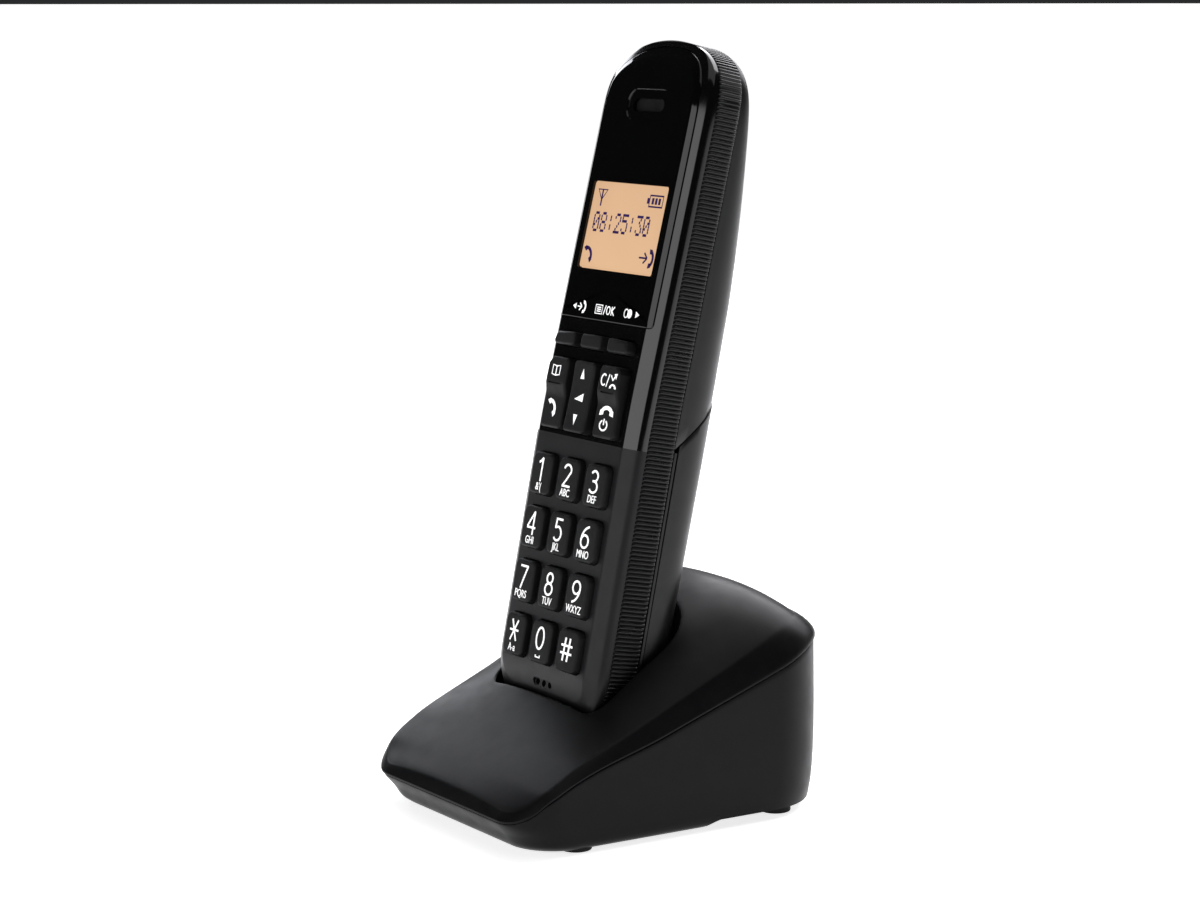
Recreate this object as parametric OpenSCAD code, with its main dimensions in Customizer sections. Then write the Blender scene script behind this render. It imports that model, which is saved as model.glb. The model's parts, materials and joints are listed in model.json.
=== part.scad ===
// Cordless telephone: a leaning handset docked in a wedge-shaped charging base.
// The handset stands in a pocket of the base. It is drawn upright in its own frame,
// x across, y into the depth and z along its length, and on_handset() leans it back.

/* [Handset] */
// Width of the handset across the grip band
handset_w = 46; // [44:0.5:48]
// Height of the handset's top above its key-row datum
handset_top = 168; // [166:0.5:170]
// Level of the handset's bottom below the datum
handset_bottom = -3; // [-3.2:0.1:-2.8]
// Lean of the docked handset, in degrees from upright
lean = 11.5; // [10.5:0.1:12]
// Depth of the front face behind the datum plane
face_y = 4.95; // [4.8:0.05:5.1]
// Slope of the upper front face, run per unit of length
face_slope = 0.045; // [0.04:0.001:0.048]
// Depth of the handset's back at its fullest
back_y = 33; // [32.6:0.1:33.4]
// Wall thickness of the case halves
wall = 1.5; // [1.3:0.1:1.6]

/* [Keys] */
// Digit key pitch across
key_pitch_x = 12; // [11.8:0.1:12.2]
// Digit key pitch along the handset
key_pitch_z = 13.73; // [13.5:0.01:13.9]
// Digit key width
key_w = 9.2; // [8.8:0.1:9.4]
// Digit key height along the handset
key_h = 10.7; // [10.2:0.1:10.9]
// How far a digit key stands out of the face
key_proud = 1.85; // [1.6:0.05:2]
// Travel of a pressed key
key_travel = 0.8; // [0.5:0.1:0.8]
// Gap between a key and its opening
key_gap = 0.25; // [0.2:0.05:0.3]
// Centre of the lowest key row
key_row_z = 14.6; // [14.4:0.1:14.8]
// Centre of the rocker columns
rocker_z = 76.6; // [76.4:0.1:76.8]
// Length of a rocker key
rocker_h = 18; // [17:0.1:18.2]
// Centre of the soft key row
soft_z = 90.6; // [90.4:0.1:90.8]

/* [Display] */
// Window width
window_w = 31.2; // [30:0.2:31.6]
// Bottom edge of the window
window_z0 = 108.7; // [108:0.1:109]
// Top edge of the window
window_z1 = 131; // [130:0.1:132]
// Bottom edge of the glossy faceplate
plate_z0 = 96; // [95.8:0.1:96.2]

/* [Grip band] */
// Pitch of the grip ribs
rib_pitch = 1.08; // [1.05:0.01:1.3]
// Depth of the grip ribs
rib_depth = 0.4; // [0.2:0.05:0.5]

/* [Base] */
// Width of the base
base_w = 79; // [78:0.5:80]
// Depth of the base
base_d = 96; // [95:0.5:97]
// Height of the base's crest
crest_z = 57.1; // [56.5:0.1:57.6]
// Plan radius of the front corners
front_r = 12; // [10:0.5:13]
// Plan radius of the rear corners
rear_r = 20; // [17:0.5:21]
// Clearance between the handset and its pocket
pocket_gap = 0.7; // [0.6:0.1:0.9]
// Height of the rubber feet below the shell
foot_h = 1; // [0.8:0.1:1.4]

/* [Hidden] */

dock = [0, -24.5, 30.3];            // handset datum in the base's frame
half_w = handset_w / 2;
bend_z = 72;                        // where the front face starts to slope back
bend_half = 10;                     // half of the length over which it bends
flat_half = 18.8;                   // half width of the flat front face
band_wall = 2.2;                    // thickness of the grip band
band_bottom = 2;                    // lower ends of the grip band's legs
seam_y = 19.8;                      // the battery cover's seam leaves the band here
seam_z = 69.6;
seam_rise = 1.043;                  // rise of the seam per unit of depth
cover_bottom = 8;                   // lower end of the battery cover
cover_slide = 5;                    // travel of the battery cover
tray_y = 17.95;                     // front of the battery tray
tray_t = 1;
plate_t = 1.3;                      // thickness of the faceplate
ear_z = 151;                        // centre of the earpiece
ear_r = 8;
sheet_y = 11.4;                     // front of the keypad sheet's web
dome_y = 8.2;                       // tops of the keypad domes
board_y = 12.6;                     // front of the handset's board
board_t = 1.2;
cell_r = 5.2;
cell_len = 44;
cell_z = 14.2;
cell_x = 5.6;
cell_y = 24.3;
contact_x = 11;                     // charge contacts, from the middle
contact_y = 14;
pocket_floor = handset_bottom - 0.4;
screw_spots = [[-16.5, 3.5], [16.5, 3.5], [-17.2, 64.3], [17.2, 64.3]];
base_screw_spots = [[-27.5, -14], [27.5, -14], [-29, 18], [29, 18]];
foot_spots = [[-31, -28.5], [31, -28.5], [-31, 32], [31, 32]];
shell_bottom = foot_h;
base_board_z = shell_bottom + 7.4;    // underside of the base's board
jack_z = 15.4;                      // centre of the rear sockets
jack_depth = 9.6;                   // front to back, ending against the rear wall
page_z = 20.5;                      // centre of the paging button
front_narrowing = 2;                // the base is this much narrower on each side at the front
crown_power = 2.5;                  // shape of the roof's cross-section
crown_root = 0.72;
roof_stations = [-48.2, -47, -45, -41.5, -36, -21.5, -13.8, -4, 6, 16, 22, 27, 32, 37, 41, 44.5, 48.2];
pocket_front = 6.4;                 // depth of the pocket's front and rear faces
pocket_rear = 19.1;
rocker_pitch = 11.7;
soft_w = 8.9;                       // size of a soft key
soft_h = 3.6;
heel_step_y = 8;                    // the underside is raised behind this line
heel_step = 1.6;
function under(spot) = spot[1] > heel_step_y ? heel_step : 0;
back_taper = 0.00006;               // the back narrows a little towards both ends

// ---- curves of the handset ----

function rise(z) =
    z < bend_z - bend_half ? 0 :
    z < bend_z + bend_half ? face_slope * pow(z - bend_z + bend_half, 2) / (4 * bend_half) :
    face_slope * (z - bend_z);
// Depth of the front face along the middle, rounded back at both ends
function face(z) = face_y + rise(z)
    + (z < 9 ? 4.6 * pow((9 - z) / (9 - handset_bottom), 1.6) : 0)
    + (z > 152 ? 4.2 * pow((z - 152) / (handset_top - 152), 2.4) : 0);
// Front and rear edges of the grip band
function band_front(z) = 9.6 + 0.046 * max(0, z - 70);
function band_rear(z) = 17.9 + 0.035 * max(0, z - 75);
// Depth of the back along the middle
function back(z) = lookup(z, [[cover_bottom, 31.4], [26, 31.9], [50, 32.5], [78, back_y], [101, back_y],
    [121, 31.9], [137, 30], [151, 27.5], [158, 25.8], [163, 23.8], [166.5, 21.8], [168, 20.9]]);
// Half width of the outline, rounded at the top and the bottom
function top_half(z, a) = z < 140 ? a : a * sqrt(max(0, 1 - pow((z - 140) / (handset_top - 140), 5)));
function round_rect(w, h, r, n = 5) = [for (c = [0:3], i = [0:n])
    let (a = 90 * c + 90 * i / n,
         cx = (c == 0 || c == 3 ? 1 : -1) * (w / 2 - r),
         cz = (c < 2 ? 1 : -1) * (h / 2 - r))
    [cx + r * cos(a), cz + r * sin(a)]];
function arch(a, z0, z1, side, n = 9) = [for (i = [0:n])
    let (t = 90 * pow((side > 0 ? i : n - i) / n, 2.5))
    [side * a * cos(t), z0 + (z1 - z0) * pow(sin(t), 0.4)]];
function heel(a, z1, z0, side, n = 7) = [for (i = [0:n])
    let (t = 90 * pow((side < 0 ? i : n - i) / n, 1.6))
    [side * a * pow(cos(t), 0.4), z1 - (z1 - z0) * pow(sin(t), 0.8)]];
// Outline of the handset seen from the front, drawn in by inset
function outline(inset = 0) = concat(
    arch(half_w - inset, 140, handset_top - inset, 1),
    arch(half_w - inset, 140, handset_top - inset, -1),
    heel(half_w - inset, 12, handset_bottom + inset, -1),
    heel(half_w - inset, 12, handset_bottom + inset, 1));

module on_handset() translate(dock) rotate([-lean, 0, 0]) children();
// Extrudes an x-z outline from depth y0 to depth y1
module deep(points, y0, y1)
    translate([0, y1, 0]) rotate([90, 0, 0]) linear_extrude(y1 - y0) polygon(points);
// Extrudes a y-z side profile across the width
module across(points, w)
    rotate([90, 0, 90]) linear_extrude(w, center = true) polygon(points);
// Places a key frame on the front face, y pointing into the case
module at_face(x, z) {
    slope = atan((rise(z + 0.5) - rise(z - 0.5)));
    translate([x, face_y + rise(z), z]) rotate([-slope, 0, 0]) children();
}
function stations(z0, z1, n) = [for (i = [0:n]) z0 + (z1 - z0) * i / n];
function reversed(list) = [for (i = [len(list) - 1:-1:0]) list[i]];

// ---- handset front ----

// Solid between the front face, set back by depth, and the front edge of the grip band
module front_blank(inset, depth) {
    zs = concat(stations(handset_bottom + inset, 14, 6), [62, 67, 72, 77, 82, 152],
        stations(155, handset_top - inset, 5));
    difference() {
        intersection() {
            deep(outline(inset), 0, 20);
            across(concat(
                [for (z = zs) [face(z) + depth, z]],
                [for (z = [handset_top - inset, 70, handset_bottom + inset])
                    [band_front(z) + 2 * depth, z]]), 60);
        }
        for (side = [-1, 1]) {
            edge_cut(side, inset + depth * 0.2, -20, bend_z + 4, 0);
            edge_cut(side, inset + depth * 0.2, bend_z - 4, 190, atan(face_slope));
        }
    }
}
// Bevel along a long front edge
module edge_cut(side, inset, z0, z1, tilt)
    translate([0, face_y, bend_z]) rotate([-tilt, 0, 0]) translate([0, 0, z0 - bend_z])
        linear_extrude(z1 - z0) polygon([
            [side * (flat_half - 0.9 - inset), -8], [side * (flat_half - 0.9 - inset), -0.4],
            [side * (half_w - 1.2 - inset), 1.7], [side * (half_w - inset), 3.2],
            [side * 30, 3.2], [side * 30, -8]]);

module key_openings() {
    for (row = [0:3], column = [-1:1])
        at_face(column * key_pitch_x, key_row_z + row * key_pitch_z)
            deep(round_rect(key_w + 2 * key_gap, key_h + 2 * key_gap, 2), -3, 3);
    for (column = [-1:1]) {
        at_face(column * rocker_pitch, rocker_z)
            deep(round_rect(key_w + 2 * key_gap, rocker_h + 2 * key_gap, 1.6), -3, 3);
        at_face(column * rocker_pitch, soft_z)
            deep(round_rect(soft_w + 2 * key_gap, soft_h + 2 * key_gap, 1), -3, 3);
    }
}

function plate_outline(inset) = concat(
    arch(flat_half - inset, 140, 163.5 - inset, 1), arch(flat_half - inset, 140, 163.5 - inset, -1),
    [[-flat_half + inset, plate_z0 + 2.5], [-flat_half + inset + 2.5, plate_z0 + inset],
     [flat_half - inset - 2.5, plate_z0 + inset], [flat_half - inset, plate_z0 + 2.5]]);
function plate_profile(y0, y1) = let (zs = [90, 152, 156, 160, 164])
    concat([for (z = zs) [face(z) + y0, z]], [for (z = reversed(zs)) [face(z) + y1, z]]);

module handset_front_case() color("#161616") on_handset() {
    difference() {
        front_blank(0, 0);
        difference() {
            front_blank(wall, wall);
            // the display wall is thicker, because the faceplate is let into it
            across(concat([for (z = [94, 152, 170]) [face(z) - 1, z]], [[face(170) + 2.8, 170],
                [face(152) + 2.8, 152], [face(94) + 2.8, 94]]), 60);
        }
        intersection() {
            deep(plate_outline(-0.15), 0, 20);
            across(plate_profile(-5, plate_t + 0.1), 60);
        }
        key_openings();
        at_face(0, 120) deep(round_rect(34.4, 28.4, 1), -3, 6);
        // opening and seat of the earpiece
        at_face(0, ear_z) {
            deep(round_rect(15, 6, 2.9), -3, 6);
            translate([0, 2.85, 0]) rotate([-90, 0, 0]) cylinder(h = 7, r = ear_r + 0.2, $fn = 64);
        }
        for (x = [-2.2, 0, 2.2]) translate([x, 3, 4.2]) rotate([-90, 0, 0])
            cylinder(h = 6, r = 0.45, $fn = 24);
    }
    // screw bosses that the rear case is fastened to
    for (spot = screw_spots) translate([spot[0], face_y + wall - 0.3, spot[1]]) rotate([-90, 0, 0])
        difference() {
            cylinder(h = board_y + board_t + 2 - face_y - wall, r = 2.1, $fn = 48);
            translate([0, 0, 1.5]) cylinder(h = 20, r = 1.05, $fn = 48);
        }
}

module handset_faceplate() color("#050505") on_handset()
    difference() {
        intersection() {
            deep(plate_outline(0), 0, 20);
            across(plate_profile(0, plate_t), 60);
        }
        deep([for (p = round_rect(window_w, window_z1 - window_z0, 0.6))
            [p[0], p[1] + (window_z0 + window_z1) / 2]], 0, 20);
        // earpiece recess and slot
        at_face(0, ear_z) {
            deep(round_rect(17.6, 8.2, 3.4), -2, 0.5);
            deep(round_rect(13.2, 2.9, 1.4), -2, 4);
        }
    }

module handset_lcd() color("#dcb48c") on_handset() at_face(0, 120)
    translate([-16.5, 1.6, -13.5]) cube([33, 1.6, 27]);
module handset_lcd_backlight() color("ivory") on_handset() at_face(0, 120) {
    translate([-17, 3.3, -14]) cube([34, 1, 28]);
    for (side = [-1, 1]) translate([side * 17.5 - 0.6, 2.9, -14]) cube([1.2, 1.4, 28]);
}
module handset_earpiece() color("#3a3a3a") on_handset() at_face(0, ear_z)
    translate([0, 2.9, 0]) rotate([-90, 0, 0]) {
        cylinder(h = 1.2, r = ear_r, $fn = 64);
        translate([0, 0, 1.2]) cylinder(h = 2.2, r = 6, $fn = 64);
    }

// ---- keys ----

// A key cap: its top stands proud, its flange stays behind the wall
module cap(w, h, r, proud, flange_y, corner = 0) {
    difference() {
        union() {
            deep(round_rect(w, h, r), -proud + 0.5, flange_y + 0.5);
            deep(round_rect(w - 0.9, h - 0.9, r * 0.8), -proud, -proud + 0.5);
        }
        if (corner != 0)
            translate([corner * w / 2, 0, h / 2]) rotate([0, 45, 0]) cube([3, 20, 3], center = true);
    }
    deep(round_rect(w + 1.5, h + 1.5, r), flange_y, flange_y + 0.5);
}
module digit(column, row) color("#202020") on_handset()
    at_face(column * key_pitch_x, key_row_z + row * key_pitch_z)
        cap(key_w, key_h, 1.8, key_proud, wall + 0.15);
module softkey(column) color("#202020") on_handset() at_face(column * rocker_pitch, soft_z)
    cap(soft_w, soft_h, 0.9, 2.2, wall + 0.15);
module rocker(column) color("#202020") on_handset() at_face(column * rocker_pitch, rocker_z)
    difference() {
        cap(key_w, rocker_h, 1.5, 2.8, wall + 0.75, column);
        // the two halves are dished, with a finger groove across the middle
        translate([0, -2.8 - 39.6, 0]) rotate([0, 90, 0]) cylinder(h = 20, r = 40, center = true, $fn = 96);
    }

module talk_rocker() rocker(-1);
module navigator_rocker() rocker(0);
module off_rocker() rocker(1);
module softkey_left() softkey(-1);
module softkey_center() softkey(0);
module softkey_right() softkey(1);
module key_star() digit(-1, 0);
module key_0() digit(0, 0);
module key_hash() digit(1, 0);
module key_7() digit(-1, 1);
module key_8() digit(0, 1);
module key_9() digit(1, 1);
module key_4() digit(-1, 2);
module key_5() digit(0, 2);
module key_6() digit(1, 2);
module key_1() digit(-1, 3);
module key_2() digit(0, 3);
module key_3() digit(1, 3);

// Silicone sheet with one dome under each key
module handset_keypad_sheet() color("#8a8d90") on_handset() {
    difference() {
        translate([-18.5, sheet_y, 7]) cube([37, 1, 89]);
        for (spot = screw_spots) translate([spot[0], 0, spot[1]]) rotate([-90, 0, 0])
            cylinder(h = 30, r = 2.4, $fn = 48);
    }
    for (column = [-1:1]) {
        for (row = [0:3]) dome(column * key_pitch_x, key_row_z + row * key_pitch_z, dome_y);
        for (dz = [-5.5, 5.5]) dome(column * rocker_pitch, rocker_z + dz, dome_y + 0.6);
        dome(column * rocker_pitch, soft_z, dome_y + 0.9);
    }
}
module dome(x, z, y0) translate([x, y0, z]) rotate([-90, 0, 0])
    cylinder(h = sheet_y - y0 + 0.2, r1 = 1.5, r2 = 1.9, $fn = 48);

// ---- grip band ----

// Points along one leg of the ribbed outline, upwards
function rib_leg(side, z0, z1) = [for (i = [0:floor((z1 - z0) / rib_pitch) - 1], k = [0:3])
    [side * (top_half(z0 + (i + 0.25 * k) * rib_pitch, half_w) - (k < 2 ? 0 : rib_depth)),
     z0 + (i + [0, 0.55, 0.65, 0.9][k]) * rib_pitch]];
module handset_grip_band() color("#2b2b2b") on_handset()
    intersection() {
        difference() {
            deep(concat(rib_leg(1, band_bottom, 158), arch_above(half_w, 158),
                reversed(rib_leg(-1, band_bottom, 158))), 0, 30);
            deep(concat(arch(half_w - band_wall, 140, handset_top - band_wall, 1),
                arch(half_w - band_wall, 140, handset_top - band_wall, -1),
                [[-half_w + band_wall, -5], [half_w - band_wall, -5]]), -1, 31);
        }
        across(concat([for (z = [0, 70, 170]) [band_front(z) + 0.03, z]],
            [for (z = [170, 75, 0]) [band_rear(z) - 0.03, z]]), 60);
    }
function arch_above(a, z0, n = 14) = [for (i = [1:n - 1])
    let (x = top_half(z0, a) * cos(180 * i / n))
    [x, 140 + (handset_top - 140) * pow(1 - pow(x / a, 2), 0.2)]];

// ---- handset rear ----

// One cross-section of the back, from in front of the band's rear edge to the crown
function back_ring(z, inset, lift) =
    let (a = top_half(z, half_w - 0.35 - back_taper * pow(z - 95, 2)) - inset,
         y0 = band_rear(z) + lift,
         b = back(z) - inset - y0)
    concat([[-a, y0 - 3, z], [a, y0 - 3, z]],
        [for (i = [0:14]) let (t = 180 * i / 14)
            [sign(cos(t)) * a * pow(abs(cos(t)), 0.64), y0 + b * pow(sin(t), 0.64), z]]);
// Skin through rings that all have the same number of points, from the lowest up
module loft(rings) {
    n = len(rings[0]);
    last = len(rings) - 1;
    polyhedron([for (ring = rings, p = ring) p], concat(
        [[for (i = [0:n - 1]) i], [for (i = [n - 1:-1:0]) last * n + i]],
        [for (k = [0:last - 1], i = [0:n - 1], upper = [0, 1]) let (j = (i + 1) % n)
            upper == 1 ? [k * n + i, (k + 1) * n + i, (k + 1) * n + j]
                       : [k * n + i, (k + 1) * n + j, k * n + j]]));
}
module back_blank(zs, inset, lift = 0) loft([for (z = zs) back_ring(z, inset, lift)]);
// Half space above the battery cover's seam
module above_seam(shift = 0)
    across([for (y = [10, 45]) [y, seam_z + (y - seam_y) * seam_rise + shift], [45, 200], [10, 200]], 80);

// Half space behind the grip band's rear edge
module behind_band(lift)
    across([[band_rear(0) + lift, -20], [band_rear(75) + lift, 75], [band_rear(200) + lift, 200],
        [60, 200], [60, -20]], 80);

module handset_rear_case() color("#191919") on_handset() {
    difference() {
        union() {
            intersection() {
                union() {
                    difference() {
                        back_blank([60, 78, 96, 112, 128, 142, 152, 158, 163, 166, handset_top - 0.3], 0);
                        back_blank([58, 78, 96, 112, 128, 142, 152, 158, 162, handset_top - 2.5], wall);
                    }
                    // slanting wall that closes the upper hollow at the seam
                    difference() {
                        back_blank([61, 80, 100], 0.4);
                        above_seam(1.4);
                    }
                }
                above_seam();
                behind_band(0);
            }
            // battery tray and its end walls
            deep([for (p = outline(0.4)) [p[0], min(p[1], seam_z - 1)]], tray_y, tray_y + tray_t);
            for (z = [10.2, 61.2]) translate([-15.5, tray_y, z]) cube([31, 9, 1.2]);
            for (side = [-1, 1]) translate([side * 15.5 - 0.6, tray_y, 10.2]) cube([1.2, 5, 52.2]);
            // bottom wall between the case halves
            difference() {
                deep(outline(0.25), 9.7, tray_y + 0.5);
                deep(outline(1.6), 8, tray_y + 0.1);
                translate([-30, 0, 1.6]) cube([60, 40, 200]);
            }
            for (spot = screw_spots) translate([spot[0], 16.1, spot[1]]) rotate([-90, 0, 0])
                cylinder(h = 2.8, r = 2.9, $fn = 32);
        }
        for (spot = screw_spots) translate([spot[0], 0, spot[1]]) rotate([-90, 0, 0]) {
            cylinder(h = 30, r = 1.25, $fn = 24);
            translate([0, 0, 17.1]) cylinder(h = 6, r = 2.2, $fn = 24);
        }
        // ringer slots
        for (i = [-2:2]) translate([-6, 20, 121 + i * 2.6]) cube([12, 20, 1.1]);
        // windows for the charge terminals
        for (side = [-1, 1]) translate([side * contact_x - 2.6, contact_y - 2.1, -6]) cube([5.2, 4.2, 6]);
    }
}

module battery_cover() color("#1b1b1b") on_handset()
    difference() {
        intersection() {
            loft(concat(
                [[for (p = back_ring(cover_bottom + 1.5, 1.6, 1.35)) [p[0], p[1], cover_bottom]]],
                [for (z = [cover_bottom + 1.5, 26, 40, 50, 64, 78, 86]) back_ring(z, 0, 1.35)]));
            behind_band(1.35);
        }
        translate([0, 0, -0.25]) above_seam();
        back_blank([cover_bottom + 1.4, 26, 50, 64, 78, 90], 1.4, 1.35);
        // thumb grip near the seam
        for (i = [0:4]) translate([-5, back(60) - 0.35, 58 + 1.6 * i]) cube([10, 3, 0.7]);
    }

module cell(x) color("#2f7d4f") on_handset() translate([x, cell_y, cell_z]) {
    cylinder(h = cell_len - 1, r = cell_r, $fn = 64);
    translate([0, 0, cell_len - 1]) cylinder(h = 1, r = 1.9, $fn = 48);
}
module battery_cell_1() cell(-cell_x);
module battery_cell_2() cell(cell_x);
module battery_contacts() color("silver") on_handset()
    for (side = [-1, 1]) {
        translate([side * cell_x - 4, 19.2, 60.6]) cube([8, 7.5, 0.5]);
        translate([side * cell_x, cell_y, 59]) cylinder(h = 1.7, r = 1.2, $fn = 32);
        translate([side * cell_x - 4, 19.2, 11.6]) cube([8, 7.5, 0.4]);
        translate([side * cell_x, cell_y, 11.9]) cylinder(h = 2.2, r1 = 3.2, r2 = 1.8, $fn = 32);
    }

module handset_circuit_board() color("#1f5a35") on_handset()
    difference() {
        deep([for (p = outline(3)) [p[0], min(p[1], 141)]], board_y, board_y + board_t);
        for (spot = screw_spots) translate([spot[0], 0, spot[1]]) rotate([-90, 0, 0])
            cylinder(h = 30, r = 2.35, $fn = 48);
    }
module handset_board_components() color("#2a2a2c") on_handset() {
    rear = board_y + board_t;
    translate([-6, rear, 30]) cube([12, 1.4, 12]);        // radio chip
    translate([-12, rear, 84]) cube([24, 2.2, 20]);       // shield can
    translate([5, rear, 50]) cube([8, 1, 6]);             // memory chip
    for (i = [0:3]) translate([-14 + 4.5 * i, rear, 112]) cube([2.5, 1, 1.6]);
    translate([-17, rear, 134]) cube([34, 1.8, 3]);       // antenna strip
    for (x = [-13, 13]) translate([x, rear, 16]) rotate([-90, 0, 0]) cylinder(h = 2, r = 2.2, $fn = 32);
}
module handset_microphone() color("#b0b0b0") on_handset()
    translate([0, 10.3, 4.2]) rotate([-90, 0, 0]) cylinder(h = 2.2, r = 2.6, $fn = 48);
module handset_ringer_speaker() color("#3a3a3a") on_handset()
    translate([0, back(121) - 7.5, 121.5]) rotate([-90, 0, 0]) {
        cylinder(h = 3, r = 7, $fn = 64);
        translate([0, 0, 3]) cylinder(h = 1.1, r = 10, $fn = 64);
    }
module handset_charge_terminals() color("silver") on_handset()
    for (side = [-1, 1]) {
        translate([side * contact_x - 2.4, contact_y - 1.9, handset_bottom - 0.1]) cube([4.8, 3.8, 0.5]);
        translate([side * contact_x - 1.2, contact_y - 0.15, handset_bottom + 0.3]) cube([2.4, 0.5, 7]);
    }
module handset_screws() color("#9a9a9a") on_handset()
    for (spot = screw_spots) translate([spot[0], 8.6, spot[1]]) rotate([-90, 0, 0])
        difference() {
            union() {
                cylinder(h = 8.6, r = 1, $fn = 32);
                translate([0, 0, 8.5]) cylinder(h = 1.3, r = 2, $fn = 32);
            }
            for (a = [0, 90]) rotate([0, 0, a]) translate([-1.4, -0.25, 9.2]) cube([2.8, 0.5, 2]);
        }

// ---- base ----

// Centre line of the top surface, the parting line at the sides, and the bevel above it
function roof(y) = lookup(y, [[-48, 10.6], [-46.5, 12], [-21.5, 28.6], [-13.8, 35.4], [-4, 43], [6, 49.4],
    [16, 54.2], [22, 56.4], [27, crest_z], [32, 56.4], [38.5, 53.7], [44, 49.4], [48, 45.6]]);
function parting(y) = lookup(y, [[-50, 8.2], [-47, 8.6], [-43.5, 10.8], [-39.5, 14.2], [-6.5, 26.3],
    [28.5, 38.9], [35, 41.4], [41, 43.3], [50, 44.2]]);
function bevel(y) = min(roof(y) - 0.6,
    parting(y) + lookup(y, [[-48, 2], [-30, 3], [0, 4.4], [30, 4.8], [48, 3]]));
// Half width of the plan outline
function plan_half(y) =
    let (front = base_w / 2 - front_narrowing,
         rear = base_w / 2,
         yf = -base_d / 2 + front_r,
         yr = base_d / 2 - rear_r)
    y < yf ? front - front_r + sqrt(max(0, pow(front_r, 2) - pow(yf - y, 2))) :
    y > yr ? rear - rear_r + sqrt(max(0, pow(rear_r, 2) - pow(y - yr, 2))) :
    front + (rear - front) * (y - yf) / (yr - yf);

// Plan outline of the base, drawn in at the front, the sides and the rear
function corner(x, y, r, a0, n = 4) = [for (i = [0:n])
    let (a = a0 + 90 * i / n) [x + r * cos(a), y + r * sin(a)]];
function plan(front, side, rear) =
    let (w = base_w / 2 - side, y0 = -base_d / 2 + front, y1 = base_d / 2 - rear)
    concat(
        corner(w - rear_r, y1 - rear_r, rear_r, 0),
        corner(-w + rear_r, y1 - rear_r, rear_r, 90),
        corner(-w + front_narrowing + front_r, y0 + front_r, front_r, 180),
        corner(w - front_narrowing - front_r, y0 + front_r, front_r, 270));
// Draw-in of the walls at a height above the shell's bottom
function front_in(h) = lookup(h, [[0, 6.4], [0.9, 5.2], [3.5, 3.6], [8.4, 0], [60, 0]]);
function side_in(h) = lookup(h, [[0, 2.2], [0.9, 1.2], [3.5, 0.8], [8.4, 0.5], [20, 0.2], [34, 0]]);
function rear_in(h) = lookup(h, [[0, 3], [0.9, 1.6], [3.5, 0.9], [8.4, 0.3], [20, 0], [34, 0.3], [60, 0.8]]);
module body_block(inset) {
    hs = inset > 0.9 ? [inset, 3.5, 8.4, 20, 34, 60] : [inset, 0.9, 3.5, 8.4, 20, 34, 60];
    loft([for (h = hs) [for (p = plan(front_in(h) + inset, side_in(h) + inset, rear_in(h) + inset))
        [p[0], p[1], shell_bottom + h]]]);
}
// Cross-section of the space under the roof at depth y
function roof_ring(y, inset) =
    let (a = plan_half(min(max(y, -base_d / 2), base_d / 2)) + 0.5 - inset,
         b = bevel(y) - inset)
    concat([[a, y, 0], [a, y, b]],
        [for (i = [1:11]) let (x = a * cos(15 * i))
            [x, y, b + (roof(y) - inset - b) * pow(1 - pow(abs(x / a), crown_power), crown_root)]],
        [[-a, y, b], [-a, y, 0]]);
module roof_block(inset) loft([for (y = reversed(roof_stations)) roof_ring(y, inset)]);
module base_blank(inset) intersection() {
    body_block(inset);
    roof_block(inset);
}
// Everything above the parting surface
module above_parting(shift = 0) {
    ys = [-50, -47, -43.5, -39.5, -6.5, 28.5, 35, 41, 50];
    across(concat([for (y = ys) [y, parting(y) + shift]], [[50, 90], [-50, 90]]), 100);
}

// Space that the docked handset needs, with a clearance all round
module pocket_space(gap, floor_z) on_handset() {
    translate([0, 0, floor_z]) linear_extrude(90) polygon([
        for (p = round_rect(handset_w + 2 * gap, pocket_rear - pocket_front + 2 * gap, 4.5))
            [p[0], (pocket_front + pocket_rear) / 2 + p[1]]]);
    translate([0, 0, floor_z + 5.4]) linear_extrude(90) polygon(concat(
        [[-half_w - gap, 12], [half_w + gap, 12]],
        [for (i = [0:14]) let (t = 180 * i / 14)
            [sign(cos(t)) * (half_w + gap) * pow(abs(cos(t)), 0.64),
             18 + (back_y - 17.6 + gap) * pow(sin(t), 0.64)]]));
}

module base_top_cover() color("#1a1a1a")
    difference() {
        union() {
            difference() {
                intersection() {
                    base_blank(0);
                    above_parting();
                }
                intersection() {
                    base_blank(2);
                    translate([-60, -60, -1]) cube([120, 120, 100]);
                }
            }
            // cradle walls and floor
            intersection() {
                base_blank(0.5);
                pocket_space(pocket_gap + 1.8, pocket_floor - 2);
                above_parting(-30);
            }
            // screw posts
            intersection() {
                base_blank(0.5);
                for (spot = base_screw_spots) translate([spot[0], spot[1], shell_bottom + 8])
                    cylinder(h = 60, r = 3, $fn = 24);
            }
        }
        pocket_space(pocket_gap, pocket_floor);
        on_handset() for (side = [-1, 1])
            translate([side * contact_x - 2, contact_y - 1, pocket_floor - 5]) cube([4, 2, 8]);
        for (spot = base_screw_spots) translate([spot[0], spot[1], shell_bottom])
            cylinder(h = 18, r = 1.3, $fn = 24);
    }

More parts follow.
